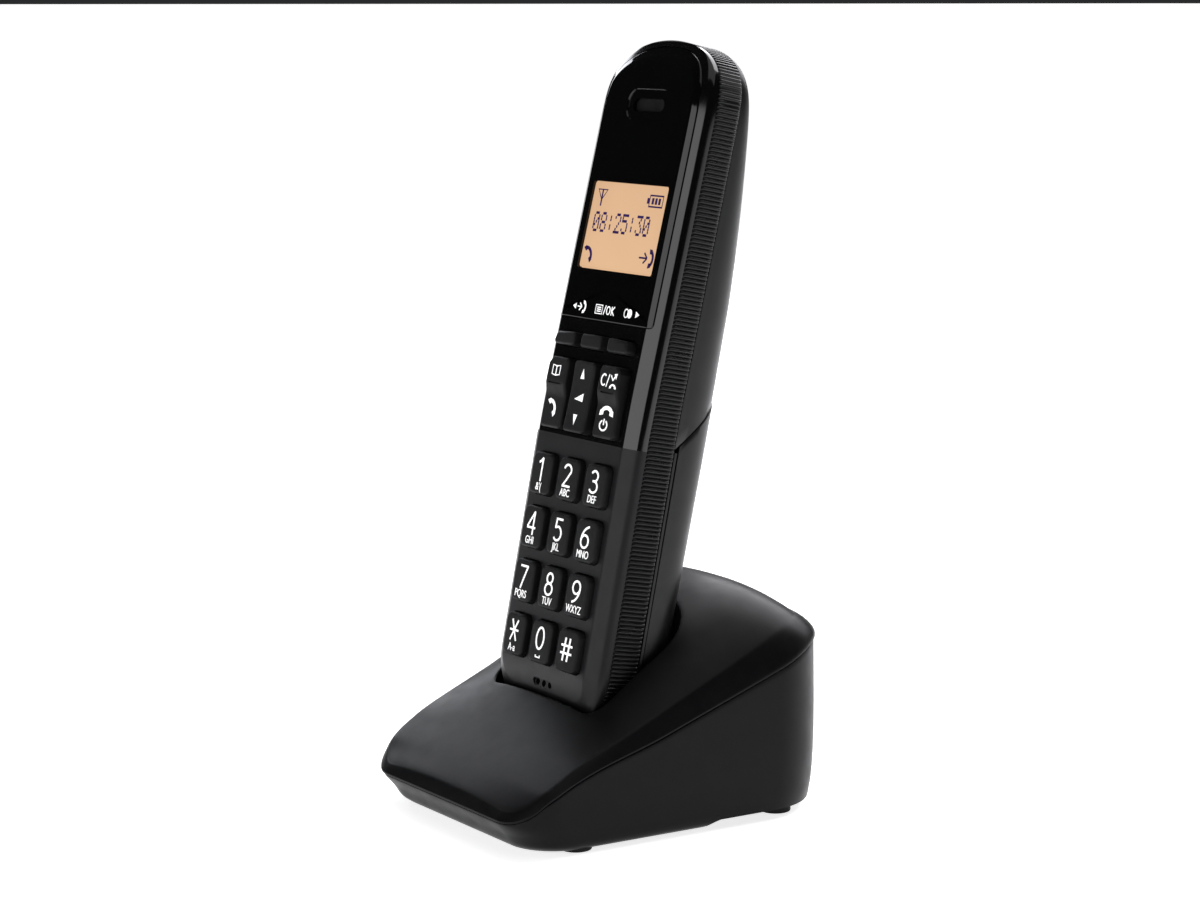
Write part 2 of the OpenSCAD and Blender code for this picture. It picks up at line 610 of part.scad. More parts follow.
module base_bottom_shell() color("#1a1a1a")
    difference() {
        union() {
            difference() {
                base_blank(0);
                above_parting(-0.15);
                difference() {
                    base_blank(2);
                    translate([-60, heel_step_y - 2, 0]) cube([120, 80, shell_bottom + heel_step + 2]);
                }
                translate([-60, heel_step_y, 0]) cube([120, 80, shell_bottom + heel_step]);
            }
            for (spot = base_screw_spots) translate([spot[0], spot[1], shell_bottom + 1.7])
                cylinder(h = 6, r = 4.2, $fn = 32);
            for (x = [-20, 20], y = [6, 34]) translate([x, y, shell_bottom + 1.7])
                cylinder(h = base_board_z - shell_bottom - 1.75, r = 2, $fn = 24);
        }
        for (spot = base_screw_spots) translate([spot[0], spot[1], 0]) {
            cylinder(h = 30, r = 1.8, $fn = 24);
            cylinder(h = shell_bottom + 5, r = 3.2, $fn = 24);
        }
        for (spot = foot_spots) translate([spot[0], spot[1], 0])
            cylinder(h = shell_bottom + 0.8 + under(spot), r = 4.05, $fn = 32);
        // rear sockets and the paging button's opening
        translate([-24, 38, jack_z - 3.6]) cube([10.6, 12, 7.2]);
        translate([19, 38, jack_z]) rotate([-90, 0, 0]) cylinder(h = 12, r = 3.4, $fn = 32);
        translate([0, 38, page_z]) rotate([-90, 0, 0]) cylinder(h = 12, r = 4.3, $fn = 32);
    }

module base_feet() color("#0d0d0d")
    for (spot = foot_spots) translate([spot[0], spot[1], 0]) {
        cylinder(h = shell_bottom + 0.7 + under(spot), r = 4, $fn = 48);
    }
module base_screws() color("#9a9a9a")
    for (spot = base_screw_spots) translate([spot[0], spot[1], shell_bottom + 3.4]) difference() {
        union() {
            cylinder(h = 1.5, r = 2.8, $fn = 32);
            cylinder(h = 12, r = 1.25, $fn = 32);
        }
        for (a = [0, 90]) rotate([0, 0, a]) translate([-2, -0.3, -1]) cube([4, 0.6, 1.6]);
    }

module base_circuit_board() color("#1f5a35")
    difference() {
        translate([-32, 2, base_board_z]) cube([64, 36, 1.6]);
        for (spot = base_screw_spots) translate([spot[0], spot[1], 0]) cylinder(h = 40, r = 4.6, $fn = 48);
    }
module base_board_components() color("#2a2a2c") {
    z = base_board_z + 1.6;
    translate([-8, 8, z]) cube([16, 14, 2.4]);            // radio module under its shield
    translate([14, 8, z]) cube([8, 8, 1.2]);              // line chip
    for (x = [-20, -14]) translate([x, 12, z]) cylinder(h = 8, r = 2.5, $fn = 32);
    translate([24, 3, z]) cube([5, 9, 6]);                // line transformer
    for (i = [0:4]) translate([-6 + 3 * i, 26, z]) cube([1.8, 1.2, 0.8]);
    translate([-4, 33, z]) cube([8, 5, page_z + 3 - z]);  // paging switch on its riser
}
module base_line_jack() color("#232323")
    difference() {
        translate([-25.4, 34, base_board_z + 1.6]) cube([13.4, jack_depth, 11.6]);
        translate([-23.6, 36, jack_z - 3.2]) cube([9.8, 12, 6.4]);
        translate([-20.2, 36, jack_z - 5]) cube([3, 12, 3]);
    }
module base_dc_jack() color("#232323") {
    difference() {
        translate([14.4, 34, base_board_z + 1.6]) cube([9.2, jack_depth, 11]);
        translate([19, 36, jack_z]) rotate([-90, 0, 0]) cylinder(h = 12, r = 2.9, $fn = 48);
    }
    translate([19, 35, jack_z]) rotate([-90, 0, 0]) cylinder(h = 8, r = 0.85, $fn = 48);
}
module base_contact_holder() color("#3b3b3b") on_handset() {
    translate([-8, contact_y - 2, -12.8]) cube([16, 4, 1.6]);
    for (side = [-1, 1]) translate([side * contact_x, contact_y, 0]) difference() {
        translate([-4.5, -3.6, -13]) cube([9, 7.2, 7.55]);
        translate([-3.3, -2.4, -11.5]) cube([6.6, 4.8, 7]);
    }
}
// Spring contact: a rounded tip on a blade, with a foot under the pocket floor
module charge_contact(side) color("#c9a94a") on_handset()
    translate([side * contact_x, contact_y, handset_bottom - 0.15]) {
        translate([0, 0, -0.7]) rotate([0, 90, 0]) cylinder(h = 3.2, r = 0.7, center = true, $fn = 48);
        translate([-1.6, -0.35, -5.8]) cube([3.2, 0.7, 5.2]);
        translate([-2.6, -1.6, -6.1]) cube([5.2, 3.2, 0.5]);
    }
module charge_contact_left() charge_contact(-1);
module charge_contact_right() charge_contact(1);

module paging_button() color("#2c2c2c")
    translate([0, base_d / 2, page_z]) rotate([90, 0, 0]) {
        cylinder(h = 4.4, r = 4, $fn = 64);
        translate([0, 0, 3.9]) cylinder(h = 0.8, r = 4.9, $fn = 64);
        translate([0, 0, 4.6]) cylinder(h = 4, r = 1.6, $fn = 48);
    }

base_bottom_shell();
base_top_cover();
base_feet();
base_screws();
base_circuit_board();
base_board_components();
base_dc_jack();
base_line_jack();
base_contact_holder();
charge_contact_left();
charge_contact_right();
paging_button();
handset_front_case();
handset_faceplate();
handset_lcd();
handset_lcd_backlight();
handset_earpiece();
handset_keypad_sheet();
handset_grip_band();
handset_rear_case();
battery_cell_1();
battery_cell_2();
battery_contacts();
handset_circuit_board();
handset_board_components();
handset_microphone();
handset_ringer_speaker();
handset_charge_terminals();
handset_screws();
battery_cover();
softkey_left();
softkey_center();
softkey_right();
talk_rocker();
navigator_rocker();
off_rocker();
key_star();
key_0();
key_hash();
key_7();
key_8();
key_9();
key_4();
key_5();
key_6();
key_1();
key_2();
key_3();
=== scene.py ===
import json
import math

import bmesh
import bpy
import numpy as np
from mathutils import Matrix, Vector


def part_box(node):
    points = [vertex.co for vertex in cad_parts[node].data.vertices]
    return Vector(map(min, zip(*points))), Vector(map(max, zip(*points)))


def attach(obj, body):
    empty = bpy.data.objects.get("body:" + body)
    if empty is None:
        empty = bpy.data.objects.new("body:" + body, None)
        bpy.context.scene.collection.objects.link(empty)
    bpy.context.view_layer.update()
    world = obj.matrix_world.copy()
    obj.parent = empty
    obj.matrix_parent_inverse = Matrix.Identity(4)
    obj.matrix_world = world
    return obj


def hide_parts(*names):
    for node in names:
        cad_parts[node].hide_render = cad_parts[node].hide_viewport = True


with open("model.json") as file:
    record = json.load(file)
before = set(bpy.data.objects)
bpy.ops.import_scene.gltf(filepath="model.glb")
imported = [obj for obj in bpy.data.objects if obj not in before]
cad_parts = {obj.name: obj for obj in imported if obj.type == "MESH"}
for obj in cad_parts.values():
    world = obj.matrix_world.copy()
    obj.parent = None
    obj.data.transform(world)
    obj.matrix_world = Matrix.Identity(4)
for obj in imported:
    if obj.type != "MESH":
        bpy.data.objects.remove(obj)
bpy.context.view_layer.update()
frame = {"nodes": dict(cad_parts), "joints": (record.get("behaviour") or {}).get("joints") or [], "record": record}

# A cordless handset leaning in its charging base. Shapes are worked out in millimetres, the
# handset's in its own upright frame: x across, y into the depth, z along its length.
MM = 0.001
LIFT = next(j for j in frame["joints"] if j["name"] == "handset_lift")
LEAN = math.atan2(LIFT["axis"][1], LIFT["axis"][2])
DOCK = Vector((0, -0.0245, 0.0303))     # the handset's datum in the base's frame
IN_HANDSET = Matrix.Translation(DOCK) @ Matrix.Rotation(-LEAN, 4, "X") @ Matrix.Scale(MM, 4)
IN_BASE = Matrix.Scale(MM, 4)

HALF_W = 23.0           # half width of the handset
TOP, BOTTOM = 168.0, -3.0
SHOULDER, HEEL = 140.0, 12.0    # where the outline starts to close in
FACE_Y = 4.95
FACE_SLOPE = 0.045
BEND, BEND_HALF = 72.0, 10.0
PLATE_HALF = 20.3       # half width of the glossy faceplate
PLATE_LOW, PLATE_HIGH = 96.0, 166.4
WALL_FRONT = 1.4        # depth of the smooth strip between the bevel and the grip band
SEAM_Y, SEAM_Z, SEAM_RISE = 19.8, 69.6, 1.043
COVER_LOW = 8.0
GLOSS_FROM = 66.3       # the front case is polished above this height
RIB_PITCH = 1.08
EAR_Z, MIC_Z = 151, 4.3
DISPLAY_Z, RINGER_Z = 120, 121.5


# ---- curves ----

def smooth_curve(stations):
    """A monotone cubic through (position, value) stations, as a function of an array."""
    xs, ys = (np.array(c, float) for c in zip(*stations))
    steps = np.diff(ys) / np.diff(xs)
    slopes = np.concatenate([[steps[0]], 0.5 * (steps[1:] + steps[:-1]), [steps[-1]]])
    turning = np.concatenate([[False], steps[1:] * steps[:-1] <= 0, [False]])
    slopes[turning] = 0
    limit = 3 * np.minimum(np.abs(np.append(steps, steps[-1])), np.abs(np.insert(steps, 0, steps[0])))
    slopes = np.sign(slopes) * np.minimum(np.abs(slopes), limit)

    def value(x):
        x = np.clip(np.asarray(x, float), xs[0], xs[-1])
        k = np.clip(np.searchsorted(xs, x) - 1, 0, len(xs) - 2)
        h = xs[k + 1] - xs[k]
        t = (x - xs[k]) / h
        return (ys[k] * (1 + 2 * t) * (1 - t) ** 2 + slopes[k] * h * t * (1 - t) ** 2
                + ys[k + 1] * t * t * (3 - 2 * t) - slopes[k + 1] * h * t * t * (1 - t))
    return value


def rise(z):
    """How far the front face slopes back at height z."""
    z = np.asarray(z, float)
    bent = FACE_SLOPE * np.clip(z - BEND + BEND_HALF, 0, None) ** 2 / (4 * BEND_HALF)
    return np.where(z < BEND + BEND_HALF, bent, FACE_SLOPE * (z - BEND))


def face(z):
    """Depth of the front face along the middle, rounded back at both ends."""
    z = np.asarray(z, float)
    low = 4.6 * (np.clip(9 - z, 0, None) / (9 - BOTTOM)) ** 1.6
    high = 4.2 * (np.clip(z - 152, 0, None) / (TOP - 152)) ** 2.4
    return FACE_Y + rise(z) + low + high


def band_front(z):
    return 9.6 + 0.046 * np.clip(np.asarray(z, float) - 70, 0, None)


def band_rear(z):
    return 17.9 + 0.035 * np.clip(np.asarray(z, float) - 75, 0, None)


back = smooth_curve([(-3, 31.2), (8, 31.4), (26, 31.9), (50, 32.5), (78, 33), (101, 33), (121, 31.9),
                     (137, 30), (151, 27.5), (158, 25.8), (163, 23.8), (166.5, 21.8), (168, 20.9)])


def top_half(z, a):
    """Half width at height z of an outline that is a wide."""
    k = np.clip((np.asarray(z, float) - SHOULDER) / (TOP - SHOULDER), 0, 1)
    return a * np.sqrt(1 - k ** 5)


OVAL = 0.64             # how square the oval of the handset's back is; 1 would be an ellipse


def oval_half(a, y0, b, count):
    """The half of an oval behind y0, a wide on each side and b deep, as x and y from right to left."""
    t = np.linspace(0, math.pi, count)
    return np.sign(np.cos(t)) * a * np.abs(np.cos(t)) ** OVAL, y0 + b * np.sin(t) ** OVAL


def resampled(points, count):
    """count points at even steps along a polyline."""
    lengths = np.concatenate([[0], np.cumsum(np.linalg.norm(np.diff(points, axis=0), axis=1))])
    at = np.linspace(0, lengths[-1], count)
    return np.stack([np.interp(at, lengths, points[:, k]) for k in range(points.shape[1])], 1)


def mirrored_loop(right_half, count):
    """A closed loop from its right half, which runs from the bottom middle to the top middle."""
    half = resampled(right_half, count // 2 + 1)
    return np.vstack([half, (half * [-1, 1])[-2:0:-1]])


def outline_half(a, high, low=None):
    """Right half of the handset's outline: heel, straight side and arched top."""
    u = np.sin(np.linspace(0, math.pi / 2, 500))
    arch = np.stack([a * u, SHOULDER + (high - SHOULDER) * (1 - u ** 2) ** 0.2], 1)
    if low is None:
        heel = np.stack([a * u, HEEL - (HEEL - BOTTOM) * (1 - u ** 5) ** 0.4], 1)
    else:
        r = 1.1
        bend = np.linspace(-math.pi / 2, 0, 40)
        heel = np.vstack([[0, low], np.stack([a - r + r * np.cos(bend), low + r + r * np.sin(bend)], 1)])
    return np.vstack([heel, arch[::-1]])


def inward(loop, d):
    """A closed loop moved inwards by d along its normals."""
    along = np.roll(loop, -1, 0) - np.roll(loop, 1, 0)
    along /= np.linalg.norm(along, axis=1)[:, None]
    return loop + np.asarray(d).reshape(-1, 1) * np.stack([-along[:, 1], along[:, 0]], 1)


OUTLINE = mirrored_loop(outline_half(HALF_W, TOP), 480)
EDGE_DROP = smooth_curve([(0, 1), (0.08, 0.91), (0.25, 0.8), (0.55, 0.68), (0.9, 0.585), (1.3, 0.508),
                          (2.5, 0.308), (3.8, 0.092), (4.1, 0.046), (4.3, 0.02), (4.55, 0.004), (4.8, 0)])


def edge_distance(points):
    """Distance from each x-z point to the handset's outline."""
    best = np.full(len(points), 1e9)
    a, b = OUTLINE, np.roll(OUTLINE, -1, 0)
    ab = b - a
    for k in range(len(a)):
        ap = points - a[k]
        t = np.clip(ap @ ab[k] / (ab[k] @ ab[k]), 0, 1)
        best = np.minimum(best, np.linalg.norm(ap - t[:, None] * ab[k], axis=1))
    return best


def front_depth(points, d=None):
    """Depth of the front surface, bevel included, at x-z points."""
    d = edge_distance(points) if d is None else np.full(len(points), float(d))
    t = EDGE_DROP(d)
    z = points[:, 1]
    return face(z) * (1 - t) + (band_front(z) - WALL_FRONT) * t


def round_rect(w, h, r, n=8):
    """Closed rounded rectangle around the origin, anticlockwise from the right side's bottom."""
    out = []
    for c, (sx, sz) in enumerate([(1, 1), (-1, 1), (-1, -1), (1, -1)]):
        for i in range(n + 1):
            a = math.pi / 2 * (c + i / n)
            out.append((sx * (w / 2 - r) + r * math.cos(a), sz * (h / 2 - r) + r * math.sin(a)))
    return np.array(out)


def with_depth(points, y):
    """x-z points with their depth between, as x, y, z."""
    y = np.broadcast_to(np.asarray(y, float), (len(points),))
    return np.stack([points[:, 0], y, points[:, 1]], 1)


# ---- meshes ----

def finish_mesh(mesh, sharp_degrees=38):
    """Welds, closes and orients a mesh, and smooths it except across its sharp edges."""
    bm = bmesh.new()
    bm.from_mesh(mesh)
    bmesh.ops.remove_doubles(bm, verts=bm.verts, dist=2e-6)
    bmesh.ops.dissolve_degenerate(bm, edges=bm.edges, dist=1e-7)
    bmesh.ops.recalc_face_normals(bm, faces=bm.faces)
    for f in bm.faces:
        f.smooth = True
    limit = math.radians(sharp_degrees)
    for e in bm.edges:
        e.smooth = not (len(e.link_faces) == 2 and e.calc_face_angle(0) > limit)
    bm.to_mesh(mesh)
    bm.free()


def new_object(name, verts, faces, matrix):
    mesh = bpy.data.meshes.new(name)
    mesh.from_pydata([matrix @ Vector(v) for v in verts], [], faces)
    o = bpy.data.objects.new(name, mesh)
    bpy.context.scene.collection.objects.link(o)
    return o


def loft(name, loops, matrix=IN_HANDSET, closed=True, capped=True, sharp_degrees=38):
    """Skin through closed loops that all have the same number of points."""
    n = len(loops[0])
    faces = []
    for k in range(len(loops) - 1):
        for i in range(n if closed else n - 1):
            j = (i + 1) % n
            faces.append((k * n + i, k * n + j, (k + 1) * n + j, (k + 1) * n + i))
    if capped:
        faces.append(tuple(range(n - 1, -1, -1)))
        faces.append(tuple(range((len(loops) - 1) * n, len(loops) * n)))
    o = new_object(name, np.vstack(loops), faces, matrix)
    finish_mesh(o.data, sharp_degrees)
    return o


def applied(o, sharp_degrees=38):
    """Replaces an object's mesh by what its modifiers make of it."""
    evaluated = o.evaluated_get(bpy.context.evaluated_depsgraph_get())
    mesh = bpy.data.meshes.new_from_object(evaluated)
    o.modifiers.clear()
    o.data = mesh
    finish_mesh(mesh, sharp_degrees)
    return o


def joined(pieces, name):
    """Several objects as one, each keeping its materials."""
    bpy.ops.object.select_all(action="DESELECT")
    for p in pieces:
        p.select_set(True)
    bpy.context.view_layer.objects.active = pieces[0]
    bpy.ops.object.join()
    pieces[0].name = name
    return pieces[0]


def cut(o, cutters):
    """Takes the cutters out of o."""
    tool = joined(cutters, o.name + "_cutter") if len(cutters) > 1 else cutters[0]
    m = o.modifiers.new("cut", "BOOLEAN")
    m.operation, m.solver, m.object = "DIFFERENCE", "EXACT", tool
    applied(o)
    bpy.data.objects.remove(tool)
    return o


def prism(name, outline, y0, y1, matrix=IN_HANDSET):
    """An x-z outline as a block from depth y0 to depth y1."""
    return loft(name, [with_depth(outline, y0), with_depth(outline, y1)], matrix)


def block(w, h, r, at, y0, y1, matrix=IN_HANDSET):
    """A rounded rectangular block around an x-z point, from depth y0 to depth y1."""
    return prism("block", round_rect(w, h, r) + list(at), y0, y1, matrix)


def stacked(name, rows, matrix):
    """Skin through rounded rectangles given as (width, height, corner radius, depth)."""
    return loft(name, [with_depth(round_rect(w, h, r), y) for w, h, r, y in rows], matrix)


def at_face(x, z, proud=0.0):
    """Frame on the handset's front at (x, z), y pointing into the case, raised above it by proud."""
    tilt = math.atan(float(rise(z + 0.5) - rise(z - 0.5)))
    place = Matrix.Translation((x, FACE_Y + float(rise(z)), z))
    return IN_HANDSET @ place @ Matrix.Rotation(-tilt, 4, "X") @ Matrix.Translation((0, -proud, 0))


def local_box(node):
    """A CAD node's lowest and highest corners in the handset's frame, in millimetres."""
    to_local = IN_HANDSET.inverted()
    points = np.array([to_local @ v.co for v in frame["nodes"][node].data.vertices])
    return points.min(0), points.max(0)


# ---- materials ----

def node_material(name):
    m = bpy.data.materials.new(name)
    m.use_nodes = True
    tree = m.node_tree
    return m, tree, tree.nodes["Principled BSDF"]


def preset(node, **values):
    """Sets a node's own sockets; an underscore stands for a space in a socket's name."""
    for name, value in values.items():
        node.inputs[name.replace("_", " ")].default_value = value


def noise(tree, scale, detail=3.0):
    """Noise over the object's own coordinates, in features per metre."""
    coords = tree.nodes.new("ShaderNodeTexCoord")
    texture = tree.nodes.new("ShaderNodeTexNoise")
    preset(texture, Scale=scale, Detail=detail)
    tree.links.new(coords.outputs["Object"], texture.inputs["Vector"])
    return texture.outputs["Fac"]


def ramp(tree, value, low, high, spread=(0.35, 0.65)):
    """Colour between low and high, following a value."""
    r = tree.nodes.new("ShaderNodeValToRGB")
    r.color_ramp.elements[0].position, r.color_ramp.elements[1].position = spread
    r.color_ramp.elements[0].color = (*low, 1)
    r.color_ramp.elements[1].color = (*high, 1)
    tree.links.new(value, r.inputs["Fac"])
    return r.outputs["Color"]


def mapped(tree, value, low, high, start=0.3, end=0.7):
    m = tree.nodes.new("ShaderNodeMapRange")
    preset(m, From_Min=start, From_Max=end, To_Min=low, To_Max=high)
    tree.links.new(value, m.inputs["Value"])
    return m.outputs["Result"]


def bump(tree, shader, height, strength, depth):
    b = tree.nodes.new("ShaderNodeBump")
    preset(b, Strength=strength, Distance=depth)
    tree.links.new(height, b.inputs["Height"])
    tree.links.new(b.outputs["Normal"], shader.inputs["Normal"])


def moulded(name, colour, rough, specular=0.5, texture=2600, strength=0.25, depth=2e-5, vary=0.12,
            coat=0.0, metallic=0.0):
    """Moulded surface: fine texture, faint mottling in its colour and its gloss."""
    m, tree, shader = node_material(name)
    broad = noise(tree, 38, 4)
    fine = noise(tree, texture, 2)
    dark = tuple(c * (1 - vary) for c in colour)
    light = tuple(c * (1 + vary) for c in colour)
    tree.links.new(ramp(tree, broad, dark, light), shader.inputs["Base Color"])
    tree.links.new(mapped(tree, noise(tree, 210, 5), rough * 0.88, rough * 1.12), shader.inputs["Roughness"])
    preset(shader, Specular_IOR_Level=specular, Coat_Weight=coat, Coat_Roughness=0.04, Metallic=metallic)
    bump(tree, shader, fine, strength, depth)
    return m


def two_tone(name):
    """The front case: satin and textured below, polished above GLOSS_FROM."""
    m, tree, shader = node_material(name)
    coords = tree.nodes.new("ShaderNodeTexCoord")
    along = tree.nodes.new("ShaderNodeVectorMath")
    along.operation = "DOT_PRODUCT"
    along.inputs[1].default_value = (0, math.sin(LEAN), math.cos(LEAN))
    tree.links.new(coords.outputs["Object"], along.inputs[0])
    level = DOCK.dot(Vector((0, math.sin(LEAN), math.cos(LEAN)))) + GLOSS_FROM * MM
    polished = mapped(tree, along.outputs["Value"], 0, 1, level - 0.05 * MM, level + 0.05 * MM)
    satin_rough = mapped(tree, noise(tree, 260, 5), 0.36, 0.42)
    blend = tree.nodes.new("ShaderNodeMix")
    tree.links.new(polished, blend.inputs["Factor"])
    tree.links.new(satin_rough, blend.inputs["A"])
    tree.links.new(mapped(tree, noise(tree, 90, 4), 0.1, 0.15), blend.inputs["B"])
    tree.links.new(blend.outputs["Result"], shader.inputs["Roughness"])
    colours = tree.nodes.new("ShaderNodeMix")
    colours.data_type = "RGBA"
    tree.links.new(polished, colours.inputs["Factor"])
    tree.links.new(ramp(tree, noise(tree, 40, 4), (0.0085, 0.0085, 0.0095), (0.0105, 0.0105, 0.0115)),
                   colours.inputs["A"])
    tree.links.new(ramp(tree, noise(tree, 30, 3), (0.0013, 0.0013, 0.0015), (0.0017, 0.0017, 0.0019)),
                   colours.inputs["B"])
    tree.links.new(colours.outputs["Result"], shader.inputs["Base Color"])
    tree.links.new(mapped(tree, polished, 0.2, 0.5, 0, 1), shader.inputs["Specular IOR Level"])
    grain = tree.nodes.new("ShaderNodeMath")
    grain.operation = "MULTIPLY"
    tree.links.new(noise(tree, 2400, 2), grain.inputs[0])
    tree.links.new(mapped(tree, polished, 1, 0.02, 0, 1), grain.inputs[1])
    bump(tree, shader, grain.outputs["Value"], 0.3, 1.6e-5)
    return m


def backlit(name):
    """The display: amber and lit, its glow varying faintly from place to place, over a fine grain."""
    m, tree, shader = node_material(name)
    glow = noise(tree, 26, 2)
    tint = ramp(tree, glow, (0.66, 0.41, 0.235), (0.72, 0.455, 0.262))
    tree.links.new(ramp(tree, glow, (0.1, 0.065, 0.04), (0.12, 0.08, 0.05)), shader.inputs["Base Color"])
    tree.links.new(tint, shader.inputs["Emission Color"])
    preset(shader, Emission_Strength=0.95, Specular_IOR_Level=0.2)
    tree.links.new(mapped(tree, noise(tree, 300, 3), 0.3, 0.38), shader.inputs["Roughness"])
    bump(tree, shader, noise(tree, 5200, 1), 0.1, 1e-5)
    return m


M = {"handset_plastic": two_tone("handset_plastic"), "lcd_amber": backlit("lcd_amber")}
for row in [
    ("base_plastic", (0.004, 0.004, 0.0045), 0.37, 0.1, 2300, 0.3),
    ("faceplate_gloss", (0.0012, 0.0012, 0.0013), 0.05, 0.36, 900, 0.02, 4e-6),
    ("light_guide", (0.72, 0.7, 0.62), 0.4),
    ("key_rubber", (0.0065, 0.0065, 0.007), 0.55, 0.16, 3600, 0.35),
    ("band_plastic", (0.003, 0.003, 0.0032), 0.3, 0.3, 3000, 0.2),
    ("rear_plastic", (0.0032, 0.0032, 0.0035), 0.36, 0.3, 2500, 0.28),
    ("foot_rubber", (0.008, 0.008, 0.008), 0.75, 0.2, 1800, 0.5),
    ("screw_steel", (0.52, 0.52, 0.54), 0.32, 0.5, 1500, 0.2, 2e-5, 0.12, 0, 1),
    ("contact_metal", (0.78, 0.68, 0.48), 0.25, 0.5, 1200, 0.15, 2e-5, 0.12, 0, 1),
    ("board_green", (0.018, 0.11, 0.05), 0.35, 0.5, 1400, 0.2, 2e-5, 0.12, 0.3),
    ("chip_black", (0.015, 0.015, 0.016), 0.55, 0.4, 2200, 0.3),
    ("jack_plastic", (0.012, 0.012, 0.012), 0.42, 0.3, 2000, 0.25),
    ("inner_plastic", (0.02, 0.02, 0.022), 0.5, 0.3, 2000, 0.3),
    ("silicone_grey", (0.05, 0.05, 0.055), 0.6, 0.4, 1600, 0.2),
    ("cell_wrap", (0.03, 0.2, 0.09), 0.28, 0.5, 800, 0.1, 2e-5, 0.12, 0.4),
    ("print_white", (0.8, 0.8, 0.8), 0.5, 0.3, 3000, 0.2, 2e-5, 0.03),
    ("lcd_ink", (0.03, 0.012, 0.09), 0.5, 0.1, 3000, 0.1, 2e-5, 0.1),
    ("speaker_cloth", (0.004, 0.004, 0.0045), 0.8, 0.2, 1700, 0.9, 6e-5),
]:
    M[row[0]] = moulded(*row)
# Painted highlight: the white print glows with its own light (emission) so that it looks brightly lit, though print
# is no lamp.
preset(M["print_white"].node_tree.nodes["Principled BSDF"], Emission_Color=(1, 1, 1, 1), Emission_Strength=0.55)


def piece(o, body, slot, *nodes):
    """Parents a piece to its body, gives it that slot's material if it has none yet, and hides the CAD nodes it
    stands for.
    """
    if not o.data.materials:
        o.data.materials.append(M[slot])
    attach(o, body)
    if nodes:
        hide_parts(*nodes)
    return o


def paint(o, material):
    o.data.materials.clear()
    o.data.materials.append(M[material])
    return o


# ---- marks on keys and display ----

def glyph(text, size, matrix, squeeze):
    """Letters as a thin raised mesh, standing upright in an x-z frame."""
    curve = bpy.data.curves.new("glyph", "FONT")
    curve.body = text
    curve.size = size
    curve.align_x, curve.align_y = "CENTER", "CENTER"
    curve.extrude = 0.05
    curve.resolution_u = 5
    o = bpy.data.objects.new("glyph", curve)
    bpy.context.scene.collection.objects.link(o)
    mesh = bpy.data.meshes.new_from_object(o.evaluated_get(bpy.context.evaluated_depsgraph_get()))
    bpy.data.objects.remove(o)
    upright = Matrix.Rotation(math.pi / 2, 4, "X") @ Matrix.Diagonal((squeeze, 1, 1, 1))
    mesh.transform(matrix @ upright)
    out = bpy.data.objects.new("glyph", mesh)
    bpy.context.scene.collection.objects.link(out)
    return out


def shape(points, matrix, y=0.0, depth=0.05):
    """A flat mark with the given x-z outline."""
    return prism("mark", np.array(points, float), y - depth, y + depth, matrix)


def stroke(points, width, matrix, y=0.0, depth=0.05, closed=False):
    """A line of even width along x-z points."""
    p = np.array(points, float)
    if closed:
        along = np.roll(p, -1, 0) - np.roll(p, 1, 0)
    else:
        along = np.gradient(p, axis=0)
    along /= np.linalg.norm(along, axis=1)[:, None]
    side = np.stack([-along[:, 1], along[:, 0]], 1) * width / 2
    ring = [with_depth(p + side, y - depth), with_depth(p - side, y - depth),
            with_depth(p - side, y + depth), with_depth(p + side, y + depth)]
    loops = list(np.stack(ring, 1))
    if closed:
        loops.append(loops[0])
    return loft("mark", loops, matrix, capped=not closed)


def lines(place, width, *paths, y=0.0):
    """Several open lines of one width."""
    return [stroke(path, width, place, y) for path in paths]


def arc(cx, cz, r, a0, a1, n=16, squash=1.0):
    a = np.radians(np.linspace(a0, a1, n))
    return np.stack([cx + r * squash * np.cos(a), cz + r * np.sin(a)], 1)


def handset_mark(x, z, size, turn, matrix, y=0.0):
    """A small telephone handset: an arched bar with two thick ends, turned clockwise."""
    bar = np.vstack([arc(0, -0.5, 1.05, 158, 22), arc(0, -0.62, 0.72, 30, 150)])
    ends = [[(-1.1, -0.62), (-0.52, -0.5), (-0.5, 0.05), (-1.02, 0.0)],
            [(1.1, -0.62), (1.02, 0.0), (0.5, 0.05), (0.52, -0.5)]]
    spin = matrix @ Matrix.Translation((x, 0, z)) @ Matrix.Rotation(math.radians(turn), 4, "Y")
    spin = spin @ Matrix.Diagonal((size, 1, size * 0.8, 1))
    return [shape(p, spin, y) for p in [bar[::-1]] + ends]


# ---- base ----

BASE_W, BASE_D = 79.0, 96.0
FRONT_R, REAR_R = 12.0, 20.0
NARROWING = 2.0
SHELL_LOW = 1.0
roof = smooth_curve([(-48, 10.6), (-46.5, 12), (-44, 13.9), (-21.5, 28.6), (-13.8, 35.2), (-4, 43),
                     (6, 49.4), (16, 54.2), (22, 56.3), (27, 57), (32, 56.4), (38.5, 53.7), (44, 49.4),
                     (48, 45.6)])
parting = smooth_curve([(-50, 8.2), (-47, 8.6), (-43.5, 10.8), (-39.5, 14.2), (-6.5, 26.3), (28.5, 38.9),
                        (35, 41.4), (41, 43.3), (50, 44.2)])
bevel_lift = smooth_curve([(-48, 1.6), (-30, 3), (0, 4.4), (30, 4.8), (48, 1.2)])
front_in = smooth_curve([(0, 6.4), (0.9, 5.2), (3.5, 3.4), (8.4, 0), (60, 0)])
side_in = smooth_curve([(0, 2.6), (0.9, 1.4), (3.5, 0.8), (8.4, 0.5), (20, 0.2), (34, 0), (60, 0)])
rear_in = smooth_curve([(0, 3), (0.9, 1.6), (3.5, 0.9), (8.4, 0.3), (20, 0), (34, 0.3), (60, 0.8)])
under_step = smooth_curve([(-60, 0), (6, 0), (9, 1.6), (60, 1.6)])


CORNER_N = 27                       # points around each corner of the plan
STRAIGHTS = [18, 44, 16, 44]        # extra points along the rear, left, front and right sides


